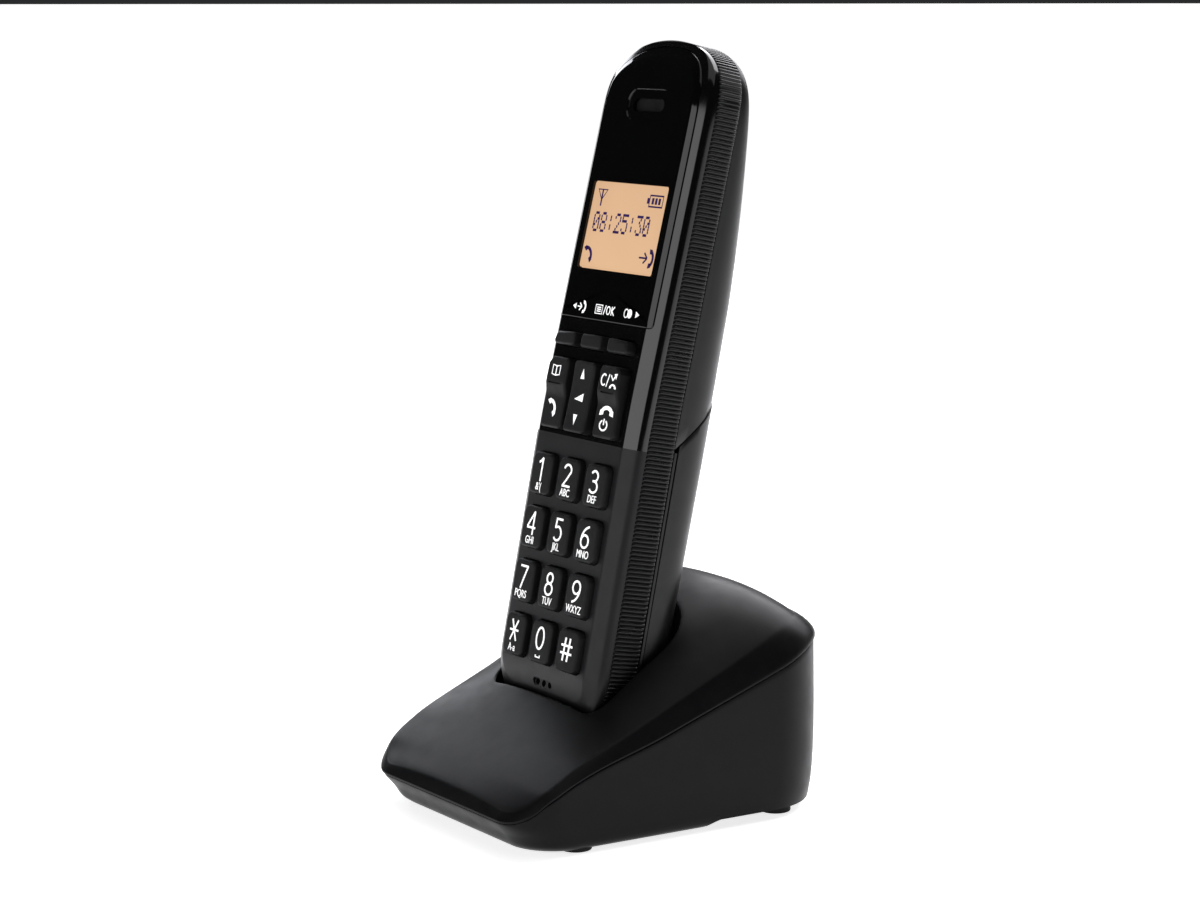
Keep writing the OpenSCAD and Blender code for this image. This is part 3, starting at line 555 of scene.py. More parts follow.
def plan_loop(front=0.0, side=0.0, rear=0.0):
    """Plan outline of the base, drawn in by amounts that may differ from point to point."""
    total = 4 * CORNER_N + sum(STRAIGHTS)
    front, side, rear = (np.broadcast_to(np.asarray(v, float), (total,)) for v in (front, side, rear))
    points, at = np.zeros((total, 2)), 0
    corners = [(1, 1, REAR_R, 0), (-1, 1, REAR_R, 0), (-1, -1, FRONT_R, NARROWING), (1, -1, FRONT_R, NARROWING)]

    def corner_point(c, i, k):
        sx, sy, r, narrow = corners[c]
        a = math.pi / 2 * (c + i / (CORNER_N - 1))
        x = sx * (BASE_W / 2 - side[k] - narrow - r) + r * math.cos(a)
        y0 = BASE_D / 2 - rear[k] - r if sy > 0 else -(BASE_D / 2 - front[k] - r)
        return np.array([x, y0 + r * math.sin(a)])

    for c, extra in enumerate(STRAIGHTS):
        for i in range(CORNER_N):
            points[at] = corner_point(c, i, at)
            at += 1
        for i in range(extra):
            t = (i + 1) / (extra + 1)
            a, b = corner_point(c, CORNER_N - 1, at), corner_point((c + 1) % 4, 0, at)
            points[at] = a * (1 - t) + b * t
            at += 1
    return points


def plan_half(y):
    y = np.clip(np.asarray(y, float), -BASE_D / 2, BASE_D / 2)
    front, rear = BASE_W / 2 - NARROWING, BASE_W / 2
    yf, yr = -BASE_D / 2 + FRONT_R, BASE_D / 2 - REAR_R
    low = front - FRONT_R + np.sqrt(np.clip(FRONT_R ** 2 - (yf - y) ** 2, 0, None))
    high = rear - REAR_R + np.sqrt(np.clip(REAR_R ** 2 - (y - yr) ** 2, 0, None))
    straight = front + (rear - front) * (y - yf) / (yr - yf)
    return np.where(y < yf, low, np.where(y > yr, high, straight))


def roof_height(p):
    """Height of the base's top surface at x-y points, ignoring the bevel along its edge."""
    a = plan_half(p[:, 1])
    b = np.minimum(parting(p[:, 1]) + bevel_lift(p[:, 1]), roof(p[:, 1]) - 0.6)
    crown = (1 - np.clip(np.abs(p[:, 0]) / a, 0, 1) ** 2.6) ** 0.92
    return b + (roof(p[:, 1]) - b) * crown


strip_width = smooth_curve([(-48, 1.7), (0, 1.9), (20, 2.8), (34, 4.6), (44, 5.5), (48, 5.5)])
roundness = smooth_curve([(-48, 0), (0, 0), (24, 0.12), (38, 0.35), (48, 0.4)])
LIP = 0.7               # what is left of the cover's wall under its bevel


def edge_ring(outer, t):
    """The bevel along the top cover's edge, from its outer end at t = 0 to its crease at t = 1."""
    width = strip_width(outer[:, 1])
    crease = roof_height(inward(outer, width))
    low = parting(outer[:, 1]) + LIP
    round_share = roundness(outer[:, 1])
    bevel = 0.75 * t + 0.25 * math.sin(math.pi / 2 * t)
    share = bevel * (1 - round_share) + math.sqrt(1 - (1 - t) ** 2) * round_share
    return at_height(inward(outer, width * t), low + (crease - low) * share)


def at_height(p, z):
    """x-y points with a height, which may be one for all."""
    return np.column_stack([p, np.broadcast_to(np.asarray(z, float), (len(p),))])


def fillet(d, r):
    """How far a rounded edge of radius r lies below the surface at distance d from the edge."""
    k = np.clip(1 - np.asarray(d, float) / r, 0, 1)
    return r * (1 - np.sqrt(1 - k ** 2))


POCKET_FRONT, POCKET_R = 6.4, 4.5
POCKET_N = 720          # points around the pocket


def pocket_section(gap):
    """The pocket across the handset, as x-y (depth) points around its middle."""
    x, y = oval_half(HALF_W + gap, 18, 33 - 17.6 + gap, 121)
    front_y, r = POCKET_FRONT - gap, POCKET_R
    corners = [arc(side * (HALF_W + gap - r), front_y + r, r, start, start + 90, 13)
               for side, start in ((-1, 180), (1, 270))]
    loop = np.vstack([np.stack([x, y], 1)] + corners)
    return resampled(np.vstack([loop, loop[:1]]), POCKET_N + 1)[:-1]


def in_row(x, w, v):
    """Handset coordinates as the base's x, y, z."""
    s, c = math.sin(LEAN), math.cos(LEAN)
    return np.stack([x, DOCK.y / MM + w * c + v * s, DOCK.z / MM - w * s + v * c], 1)


def pocket_rim(gap, angles, centre):
    """Where the pocket's wall meets the roof, in the given directions: its x, w and v."""
    section = pocket_section(gap)
    v = np.full(len(section), 15.0)
    for _ in range(40):
        p = in_row(section[:, 0], section[:, 1], v)
        v = v + 0.6 * (roof_height(p[:, :2]) - p[:, 2]) / math.cos(LEAN)
    p = in_row(section[:, 0], section[:, 1], v)
    polar = np.arctan2(p[:, 1] - centre, p[:, 0])
    order = np.argsort(polar)
    pick = [np.interp(angles, polar[order], q[order], period=2 * math.pi)
            for q in (section[:, 0], section[:, 1], v)]
    return pick


def pocket_floor(w):
    return np.where(w < 19.8, -3.4, 2.0)


def base_top_cover():
    """One shell: roof with rounded edges, the pocket with its own walls and floor, and the underside."""
    outer = plan_loop()
    centre = -2.0
    angles = np.arctan2(outer[:, 1] - centre, outer[:, 0])
    x, w, v = pocket_rim(0.7, angles, centre)
    rim = in_row(x, w, v)
    loops = []
    middle_w = 18.0

    def floor_ring(scale, drop):
        ww = middle_w + (w - middle_w) * scale
        return in_row(x * scale, ww, pocket_floor(ww) - drop)

    loops += [floor_ring(s, 0) for s in (0.02, 0.3, 0.6, 0.85, 0.97)]
    low = pocket_floor(w)
    for t in (0.02, 0.1, 0.3, 0.5, 0.7, 0.85, 0.95):
        loops.append(in_row(x, w, low + (v - 0.6 - low) * t))
    outward = rim[:, :2] - np.array([0, centre])
    outward /= np.linalg.norm(outward, axis=1)[:, None]
    rim_r = 0.7
    for k in range(7):
        a = math.pi / 2 * k / 6
        p = rim[:, :2] + outward * rim_r * (1 - math.cos(a))
        loops.append(at_height(p, roof_height(p) - rim_r * (1 - math.sin(a))))
    start = rim[:, :2] + outward * rim_r
    width = strip_width(outer[:, 1])
    edge_loop = inward(outer, width + 0.25)
    for t in np.linspace(0, 1, 30)[1:]:
        p = start * (1 - t) + edge_loop * t
        loops.append(at_height(p, roof_height(p)))
    soft = edge_ring(outer, 1.0)
    soft[:, 2] -= 0.05
    loops.append(soft)
    for t in (0.9, 0.8, 0.68, 0.55, 0.42, 0.3, 0.2, 0.12, 0.06, 0.02, 0):
        loops.append(edge_ring(outer, t))
    gap = 0.13
    edge = parting(outer[:, 1]) + gap
    inner = inward(outer, 2.0)
    loops += [at_height(outer, edge + LIP - 0.35), at_height(outer, edge + 0.2),
              at_height(inward(outer, 0.07), edge + 0.06), at_height(inward(outer, 0.22), edge),
              at_height(inner, edge)]
    post = rim[:, :2] + outward * 1.8
    for t in (0, 0.1, 0.25, 0.5, 0.75, 0.95):
        p = inner * (1 - t) + post * t
        loops.append(at_height(p, np.maximum(roof_height(p) - 2.0, parting(p[:, 1]) + 0.4)))
    wide = 1 + 1.8 / 23.7
    for v_low in (np.maximum(v - 3.5, low - 1.5), low - 2.0):
        loops.append(in_row(x * wide, middle_w + (w - middle_w) * 1.1, v_low))
    loops += [floor_ring(s, 2.0) for s in (0.85, 0.5, 0.02)]
    o = loft("base_top_cover_shell", loops, IN_BASE)
    slots = [loft("slot", [at_height(round_rect(4, 2, 0.5) + [side * 11, 14], h) for h in (-7.0, -2.6)])
             for side in (-1, 1)]
    return cut(o, slots)


def middle_of(node):
    """The middle of a CAD node, in millimetres."""
    return [(a + b) / 2 for a, b in zip(*(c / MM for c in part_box(node)))]


JACK_Z = 15.4
PAGE_Z = middle_of("paging_button")[2]


def base_bottom_shell():
    """An open tub whose walls draw in towards the table, with the rear openings cut through."""
    outer = plan_loop()
    gap = 0.13
    top = parting(outer[:, 1]) - gap
    low = SHELL_LOW + under_step(outer[:, 1])

    def wall(height, inset=0.0):
        h = height - SHELL_LOW
        return at_height(plan_loop(front_in(h) + inset, side_in(h) + inset, rear_in(h) + inset), height)

    loops = []
    base_ring = wall(low)
    for s in (0.02, 0.3, 0.6, 0.85, 0.95):
        ring = base_ring * [s, s, 1]
        ring[:, 2] = SHELL_LOW + under_step(ring[:, 1])
        loops.append(ring)
    for t in (0, 0.02, 0.05, 0.1, 0.15, 0.2, 0.3, 0.45, 0.6, 0.75, 0.88, 0.96):
        loops.append(wall(low + (top - 0.22 - low) * t))
    inner_low = low + 1.9
    loops += [wall(top - 0.22), wall(top - 0.06, 0.07), wall(top, 0.22), wall(top, 2.0),
              wall(np.maximum(top - 3, inner_low + 0.2), 2.0), wall(inner_low, 2.0)]
    for s in (0.8, 0.4, 0.02):
        ring = wall(inner_low, 2.0) * [s, s, 1]
        ring[:, 2] = SHELL_LOW + under_step(ring[:, 1]) + 1.9
        loops.append(ring)
    o = loft("base_bottom_tub", loops, IN_BASE)
    openings = [round_rect(10.6, 7.2, 0.8) + [middle_of("base_line_jack")[0], JACK_Z],
                arc(middle_of("base_dc_jack")[0], JACK_Z, 3.4, 0, 360, 49)[:-1],
                arc(0, PAGE_Z, 4.3, 0, 360, 65)[:-1]]
    return cut(o, [prism("opening", opening, 38, 52, IN_BASE) for opening in openings])


def disc(name, radius, profile, matrix, n=48):
    """Turned shape about the z axis, from (radius share, height) stations."""
    ring = arc(0, 0, 1, 0, 360, n + 1)[:-1]
    return loft(name, [at_height(ring * radius * r, h) for r, h in profile], matrix)


piece(base_top_cover(), "base", "base_plastic", "base_top_cover")
piece(base_bottom_shell(), "base", "base_plastic", "base_bottom_shell")

feet_low, feet_high = (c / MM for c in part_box("base_feet"))
FOOT_R = 4.0
foot_profile = [(0.02, 0.12), (0.7, 0.1), (0.78, 0), (0.9, 0), (0.97, 0.1), (1, 0.3), (1, 3.2), (0.02, 3.2)]
feet = [disc("foot", FOOT_R, foot_profile, IN_BASE @ Matrix.Translation((x, y, 0)))
        for x in (feet_low.x + FOOT_R, feet_high.x - FOOT_R) for y in (feet_low.y + FOOT_R, feet_high.y - FOOT_R)]
piece(joined(feet, "base_rubber_feet"), "base", "foot_rubber", "base_feet")

page_place = IN_BASE @ Matrix.Translation((0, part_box("paging_button")[1].y / MM, PAGE_Z))
page_profile = [(0.02, -0.25), (0.6, -0.22), (0.85, -0.08), (0.92, 0), (0.97, -0.05), (1, -0.3), (1, -3.6),
                (1.2, -3.7), (1.2, -4.5), (0.02, -4.5)]
button = disc("paging_cap", 4.0, page_profile, page_place @ Matrix.Rotation(-math.pi / 2, 4, "X"))
button.data.materials.append(M["key_rubber"])
mark_frame = page_place @ Matrix.Rotation(math.pi, 4, "Z")
rings = [paint(stroke(arc(-0.6, 0, r, -42, 42, 12), 0.28, mark_frame, 0.18), "print_white") for r in (0.9, 1.6, 2.3)]
piece(joined([button] + rings, "paging_button_cap"), "paging_button", "key_rubber", "paging_button")


# ---- handset front ----

def spine_rings(loop, fractions, z_low, z_high):
    """Rings between a loop and the segment that runs up its middle."""
    for f in fractions:
        middle = np.clip(loop[:, 1], z_low, z_high)
        yield np.stack([loop[:, 0] * (1 - f), loop[:, 1] + (middle - loop[:, 1]) * f], 1)


FRACTIONS = (1, 0.85, 0.7, 0.55, 0.4, 0.27, 0.15, 0.07)


def key_frames():
    """Every key's centre and size on the face, from the CAD node's box: name -> (x, z, width, height)."""
    out = {}
    names = [n for n in frame["nodes"] if n.startswith(("key_", "softkey_")) or n.endswith("_rocker")]
    for name in names:
        low, high = local_box(name)
        flange = 1.5                      # the hidden flange stands out by half of this
        out[name] = ((low[0] + high[0]) / 2, (low[2] + high[2]) / 2,
                     high[0] - low[0] - flange, high[2] - low[2] - flange)
    return out


KEYS = key_frames()
KEY_GAP = 0.25
WINDOW, WINDOW_Z = (32.6, 22.3), 119.85


def handset_front():
    inner = inward(OUTLINE, 4.8)
    loops = [with_depth(p, front_depth(p)) for p in spine_rings(inner, FRACTIONS, 20, 146)]
    for d in (4.8, 4.55, 4.3, 4.1, 3.8, 3.2, 2.5, 1.9, 1.3, 0.9, 0.55, 0.25, 0.08, 0):
        p = inward(OUTLINE, d)
        loops.append(with_depth(p, front_depth(p, d)))
    rear = band_front(OUTLINE[:, 1])
    loops += [with_depth(OUTLINE, rear - WALL_FRONT * 0.5), with_depth(OUTLINE, rear - 0.25),
              with_depth(inward(OUTLINE, 0.25), rear), with_depth(inward(OUTLINE, 2), rear),
              with_depth(inner, band_front(inner[:, 1]))]
    loops += [with_depth(p, band_front(p[:, 1])) for p in spine_rings(inner, FRACTIONS[::-1], 20, 146)]
    o = loft("handset_front_shell", loops, capped=False)
    cutters = []
    for name, (x, kz, w, h) in KEYS.items():
        r = 2.0 if name.startswith("key_") else 1.4
        hole = round_rect(w + 2 * KEY_GAP, h + 2 * KEY_GAP, r)
        cutters.append(prism("hole", hole, -4, 8, at_face(x, kz)))
    plate = mirrored_loop(outline_half(PLATE_HALF + 0.12, PLATE_HIGH + 0.12, PLATE_LOW - 0.12), 300)
    cutters.append(prism("hole", plate, -2, 16))
    mic_y = float(face(MIC_Z))
    cutters.append(block(8.3, 2.1, 1.0, (0, MIC_Z), 3, mic_y + 0.5))
    cut(o, cutters)
    return cut(o, [block(1.7, 1.7, 0.84, (x, MIC_Z), 3, mic_y + 2.2) for x in (-2.7, 0, 2.7)])


def faceplate():
    rim = mirrored_loop(outline_half(PLATE_HALF, PLATE_HIGH, PLATE_LOW), 480)
    inner = inward(rim, 2.4)
    loops = [with_depth(p, front_depth(p)) for p in spine_rings(inner, FRACTIONS, 104, 148)]
    for d in (2.4, 2.0, 1.75, 1.6, 1.45, 1.3, 1.15, 0.9, 0.6, 0.4, 0.25, 0.12, 0.04, 0):
        p = inward(rim, d)
        loops.append(with_depth(p, front_depth(p) + fillet(d, 0.3)))
    thick = 1.3
    for d in (0, 2.4):
        p = inward(rim, d)
        loops.append(with_depth(p, np.maximum(front_depth(p) + 0.5, face(p[:, 1]) + thick)))
    loops += [with_depth(p, face(p[:, 1]) + thick) for p in spine_rings(inner, FRACTIONS[::-1], 104, 148)]
    o = loft("handset_face_panel", loops, capped=False, sharp_degrees=24)
    window = block(*WINDOW, 0.7, (0, WINDOW_Z), 2, 14)
    ear = at_face(0, EAR_Z)
    recess = stacked("recess", ((18.1, 8.7, 3.65, -0.5), (17.6, 8.2, 3.4, 0), (17.2, 7.8, 3.2, 0.4)), ear)
    slot = stacked("slot", ((13.6, 3.7, 1.8, 0.1), (13.2, 3.3, 1.6, 0.4), (12.9, 3.0, 1.45, 4)), ear)
    for tool in (window, recess, slot):
        cut(o, [tool])
    m = o.modifiers.new("edge", "BEVEL")
    m.width, m.segments, m.limit_method, m.angle_limit = 0.14 * MM, 2, "ANGLE", math.radians(35)
    return applied(o, 24)


def key_cap(name, x, z, w, h, proud, top, corner=None, r=1.8):
    """A rubber key: steep sides, a rounded top edge and the given top surface."""
    place = at_face(x, z)
    edge = 0.55
    loops = []
    skirt = 2.0

    def ring(inset, y):
        p = round_rect(w - 2 * inset, h - 2 * inset, max(r - inset * 0.6, 0.35), 10)
        if corner:
            p = corner(p, inset)
        return with_depth(p, y if np.ndim(y) else np.full(len(p), y) + top(p))
    flat = round_rect(w, h, r, 10)
    if corner:
        flat = corner(flat, 0)
    loops.append(with_depth(flat * 0.02, skirt))
    loops.append(with_depth(flat, skirt))
    loops.append(with_depth(flat, -0.1))
    loops.append(ring(0.04, -proud + edge + 0.25))
    for k in range(6):
        a = math.pi / 2 * k / 5
        loops.append(ring(0.08 + edge * (1 - math.cos(a)), -proud + edge * (1 - math.sin(a))))
    for inset in (0.9, 1.2, 1.7, 2.4, 3.2, 4.0):
        if inset < min(w, h) / 2 - 0.15:
            loops.append(ring(inset, -proud))
    return loft(name + "_cap", loops, place)


def tall_cap(name, x, z, w, h, proud, top, corner, r):
    """A key whose top changes along its length: rows of points from side to side, closed underneath."""
    place = at_face(x, z)
    edge = 0.7
    outline = round_rect(w, h, r, 10)
    if corner:
        outline = corner(outline, 0)
    zs = np.unique(np.round(np.concatenate([outline[:, 1], np.linspace(-h / 2, h / 2, 46)]), 3))
    xs = np.concatenate([-1 + (1 - np.cos(np.linspace(0, math.pi / 2, 9))) * 0.3, np.linspace(-0.65, 0.65, 9),
                         1 - (1 - np.cos(np.linspace(math.pi / 2, 0, 9))) * 0.3])
    order = np.argsort(outline[:, 1])
    loops = []
    for level in zs:
        side = outline[order]
        right = np.interp(level, *np.array([q for q in side if q[0] > 0])[:, ::-1].T)
        left = np.interp(level, *np.array([q for q in side if q[0] < 0])[:, ::-1].T)
        x_row = (left + right) / 2 + xs * (right - left) / 2
        rim = np.minimum(np.minimum(x_row - left, right - x_row), h / 2 - abs(level))
        fall = edge * (1 - np.sqrt(1 - np.clip(1 - np.clip(rim, 0, None) / edge, 0, 1) ** 2))
        y = -proud + top(np.stack([x_row, np.full(len(xs), level)], 1)) + fall
        row = np.stack([x_row, y, np.full(len(xs), level)], 1)
        under = row[::-1].copy()
        under[:, 1] = 2.0
        loops.append(np.vstack([row, under]))
    return loft(name + "_cap", loops, place)


def flat_top(p):
    """Digit keys are very slightly crowned."""
    return 0.004 * (p[:, 0] ** 2 + p[:, 1] ** 2)


def dished_top(p):
    """The navigator is slightly hollow along its length."""
    return 0.35 * (1 - np.clip(np.abs(p[:, 1]) / 9, 0, 1) ** 2)


SINK = 1.0              # how much lower the outer rockers are in their lower halves


def stepped_top(p):
    """The outer rockers swing down from their upper to their lower half."""
    t = np.clip((3.0 - p[:, 1]) / 4.4, 0, 1)
    return SINK * t * t * (3 - 2 * t)


def clipped_corner(side, size):
    """Cuts the top outer corner of a key, on the given side, with a soft diagonal."""
    def bend(p, inset):
        over = side * p[:, 0] + p[:, 1] - (np.max(np.abs(p[:, 0])) + np.max(p[:, 1]) - size)
        push = np.clip(over, 0, None) / 2
        return p - np.stack([side * push, push], 1)
    return bend


LEGENDS = {"key_1": ("1", "&'("), "key_2": ("2", "ABC"), "key_3": ("3", "DEF"), "key_4": ("4", "GHI"),
           "key_5": ("5", "JKL"), "key_6": ("6", "MNO"), "key_7": ("7", "PQRS"), "key_8": ("8", "TUV"),
           "key_9": ("9", "WXYZ"), "key_0": ("0", ""), "key_star": ("", "A-a"), "key_hash": ("", "")}
LETTER_SIZE = 2.75
KEY_PROUD, SOFT_PROUD, ROCKER_PROUD = 1.85, 2.6, 2.8
STROKE = 0.54
DIGITS = {          # strokes of each digit, in a box 4 wide and 6 tall
    "0": [arc(0, 0, 2.68, 0, 360, 41, 0.6)],
    "1": [[(-1.05, 1.75), (-0.3, 2.2), (0.42, 2.95)], [(0.4, 3.0), (0.4, 0), (0.4, -3.0)]],
    "2": [arc(-0.05, 1.3, 1.4, 165, -28, 20, 1.1), [(1.28, 0.75), (0, -0.95), (-1.55, -2.75)],
          [(-1.7, -2.68), (0, -2.68), (1.75, -2.68)]],
    "3": [arc(-0.2, 1.4, 1.28, 150, -88, 20, 1.12), arc(-0.2, -1.25, 1.42, 90, -150, 22, 1.18),
          [(-0.75, 0.14), (-0.4, 0.14), (-0.1, 0.14)]],
    "4": [[(0.75, 3.0), (0.75, 0), (0.75, -3.0)], [(0.8, 2.9), (-0.5, 1.0), (-1.8, -0.95)],
          [(-1.9, -1.15), (0, -1.15), (1.75, -1.15)]],
    "5": [[(-1.1, 2.68), (0, 2.68), (1.5, 2.68)], [(-1.05, 2.9), (-1.15, 1.6), (-1.25, 0.3)],
          arc(-0.2, -0.95, 1.72, 128, -142, 26, 0.95)],
    "6": [arc(0, -1.1, 1.55, 0, 360, 33, 1.02), arc(2.0, -1.0, 3.7, 102, 180, 20, 0.97)],
    "7": [[(-1.6, 2.68), (0, 2.68), (1.75, 2.68)], [(1.6, 2.75), (0.55, 0), (-0.55, -3.0)]],
    "8": [arc(0, 1.45, 1.25, 0, 360, 29, 1.0), arc(0, -1.28, 1.42, 0, 360, 31, 1.1)],
}
DIGITS["9"] = [-np.array(line) for line in DIGITS["6"]]


def printed_key(cap, marks, name):
    """A rubber cap with its marks, as the piece for the node of that name."""
    paint(cap, "key_rubber")
    for mark in marks:
        paint(mark, "print_white")
    piece(joined([cap] + marks, name + "_cap"), name, "key_rubber", name)


def digit_key(name):
    """A number key with its digit and letters."""
    x, z, w, h = KEYS[name]
    cap = key_cap(name, x, z, w, h, KEY_PROUD, flat_top)
    on_top = at_face(x, z, KEY_PROUD)
    digit, letters = LEGENDS[name]
    marks = []
    centre = on_top @ Matrix.Translation((0, 0, 0.95))
    for line in DIGITS.get(digit, []):
        line = np.array(line)
        closed = len(line) > 3 and np.allclose(line[0], line[-1])
        marks.append(stroke(line[:-1] if closed else line, STROKE, centre, closed=closed))
    if letters:
        marks.append(glyph(letters, LETTER_SIZE, on_top @ Matrix.Translation((0, 0, -3.45)), 0.8))
    if name == "key_star":
        for turn in (90, 27, -27):
            a = math.radians(turn)
            reach = 1.9 if turn == 90 else 2.95
            end = (reach * math.sin(a), reach * math.cos(a))
            marks.append(stroke([(-end[0], -end[1]), (0, 0), end], 0.5, centre))
    if name == "key_hash":
        for k in (-0.95, 0.95):
            marks.append(stroke([(k - 0.15, -3.6), (k, -0.7), (k + 0.15, 2.2)], 0.6, centre))
            marks.append(stroke([(-2.4, k - 0.7), (0, k - 0.7), (2.4, k - 0.7)], 0.55, centre))
    if name == "key_0":
        for a, b in (((-0.9, -3.3), (-0.9, -3.9)), ((-1.0, -3.85), (1.0, -3.85)), ((0.9, -3.9), (0.9, -3.3))):
            marks.append(stroke([a, b], 0.3, on_top))
    printed_key(cap, marks, name)


def soft_key(name, side):
    x, z, w, h = KEYS[name]
    corner = clipped_corner(side, 1.6) if side else None
    cap = key_cap(name, x, z, w, h, SOFT_PROUD, flat_top, corner, 0.9)
    piece(cap, name, "key_rubber", name)


def rocker(name, side, marks):
    """A rocker with its upper and lower symbols; the outer two have a short groove between these."""
    x, z, w, h = KEYS[name]
    if side:
        cap = tall_cap(name, x, z, w, h, ROCKER_PROUD, stepped_top, clipped_corner(side, 2.2), 1.4)
        cut(cap, [block(5.6, 0.42, 0.2, (0, 2.3), -6, -ROCKER_PROUD + 0.5, at_face(x, z))])
    else:
        cap = tall_cap(name, x, z, w, h, ROCKER_PROUD, dished_top, None, 1.4)
    made = []
    for build, sunk in marks:
        made += build(at_face(x, z, ROCKER_PROUD - sunk))
    printed_key(cap, made, name)


def book_marks(place):
    """An open book: two pages and a spine."""
    z = 5.6
    page = [(0, z - 1.4), (1.65, z - 1.15), (1.65, z + 1.2), (0, z + 0.95), (-1.65, z + 1.2), (-1.65, z - 1.15)]
    return [stroke(page, 0.34, place, closed=True), stroke([(0, z - 1.4), (0, z), (0, z + 0.95)], 0.34, place)]


def talk_marks(place):
    return handset_mark(0.1, -3.5, 2.35, 52, place)


def flat_mark(*outline):
    """A filled mark, to be placed later."""
    return lambda place: [shape(outline, place)]


def clear_marks(place):
    c = stroke(arc(-2.1, 5.35, 1.35, 48, 312, 18, 0.78), 0.42, place)
    slash = stroke([(-0.75, 3.7), (-0.35, 5.3), (0.05, 6.9)], 0.32, place)
    arrow = lines(place, 0.36, [(0.75, 6.7), (1.7, 5.5), (2.4, 6.4)], [(1.7, 5.5), (2.7, 6.8)])
    head = shape([(3.3, 7.3), (2.0, 7.1), (3.0, 5.8)], place)
    return [c, slash, head] + arrow + handset_mark(2.1, 4.05, 1.3, 0, place)


def off_marks(place):
    ring = stroke(arc(-0.1, -5.75, 1.25, 118, 422, 26, 1.25), 0.42, place)
    bar = stroke([(-0.1, -5.7), (-0.1, -4.9), (-0.1, -4.1)], 0.42, place)
    return handset_mark(0.3, -2.05, 2.7, 0, place) + [ring, bar]


piece(handset_front(), "handset", "handset_plastic", "handset_front_case")
piece(faceplate(), "handset", "faceplate_gloss", "handset_faceplate")
for key_name in LEGENDS:
    digit_key(key_name)
for key_name, key_side in (("softkey_left", -1), ("softkey_center", 0), ("softkey_right", 1)):
    soft_key(key_name, key_side)
rocker("talk_rocker", -1, [(book_marks, 0), (talk_marks, SINK - 0.02)])
rocker("navigator_rocker", 0, [(flat_mark((-0.8, 4.5), (0.8, 4.5), (0, 7.1)), 0.18),
                               (flat_mark((-1.9, -0.75), (1.7, -1.15), (1.7, 0.95)), 0.32),
                               (flat_mark((-0.8, -4.5), (0, -7.2), (0.8, -4.5)), 0.18)])
rocker("off_rocker", 1, [(clear_marks, 0), (off_marks, SINK - 0.02)])


# ---- display ----

DOTS = {"0": "01110 10001 10011 10101 11001 10001 01110", "2": "01110 10001 00001 00010 00100 01000 11111",
        "3": "11111 00010 00100 00010 00001 10001 01110", "5": "11111 10000 11110 00001 00001 10001 01110",
        "8": "01110 10001 10001 01110 10001 10001 01110", ":": "00000 00100 00100 00000 00100 00100 00000"}
DOT_PITCH = (0.52, 0.74)
LCD_FRONT = 0.55        # the front of the lit panel lies this far behind the face


def display():
    """The lit panel, set back behind the face, and what it shows."""
    middle = at_face(0, DISPLAY_Z)
    y = LCD_FRONT
    panel = loft("panel", [with_depth(round_rect(w * s, h * s, 0.7 * s), at)
                           for w, h, s, at in ((33, 23, 0.02, y), (33, 23, 0.5, y), (32.2, 21.9, 1, y),
                                               (32.4, 22.1, 1, y + 0.12), (32.4, 22.1, 1, 1.55),
                                               (33, 27, 1, 1.6), (33, 27, 1, 3.1), (33, 27, 0.02, 3.1))], middle)
    panel.data.materials.append(M["lcd_amber"])
    y -= 0.02
    ink = []
    for k, character in enumerate("08:25:30"):
        for row, line in enumerate(DOTS[character].split()):
            for column, lit in enumerate(line):
                if lit == "1":
                    at = [-13.6 + (k * 6 + column) * DOT_PITCH[0], 3.0 - row * DOT_PITCH[1]]
                    ink.append(prism("dot", round_rect(0.5, 0.7, 0.08, 1) + at, y, y + 0.05, middle))
    ink += lines(middle, 0.5, [(-12.2, 4.8), (-12.2, 6.6), (-12.2, 8.9)], y=y)
    ink.append(stroke([(-14.2, 9.0), (-12.2, 6.4), (-10.2, 9.0)], 0.44, middle, y, closed=True))
    ink.append(stroke([(8.6, 5.8), (8.6, 8.6), (14.2, 8.6), (14.2, 5.8)], 0.45, middle, y, closed=True))
    ink.append(shape([(7.6, 6.5), (8.5, 6.5), (8.5, 7.9), (7.6, 7.9)], middle, y))
    ink += [shape([(b, 6.4), (b + 0.85, 6.4), (b + 0.85, 8.0), (b, 8.0)], middle, y) for b in (9.6, 11.0, 12.4)]
    ink += lines(middle, 0.45, [(9.0, -7.0), (10.6, -7.0), (12.2, -7.0)], [(11.0, -5.7), (12.4, -7.0)],
                 [(12.4, -7.0), (11.0, -8.3)], y=y)
    ink += handset_mark(-12.9, -7.2, 2.3, 48, middle, y) + handset_mark(14.2, -7.0, 2.2, 88, middle, y)
    return joined([panel] + [paint(mark, "lcd_ink") for mark in ink], "display_panel")


piece(display(), "handset", "lcd_amber", "handset_lcd")


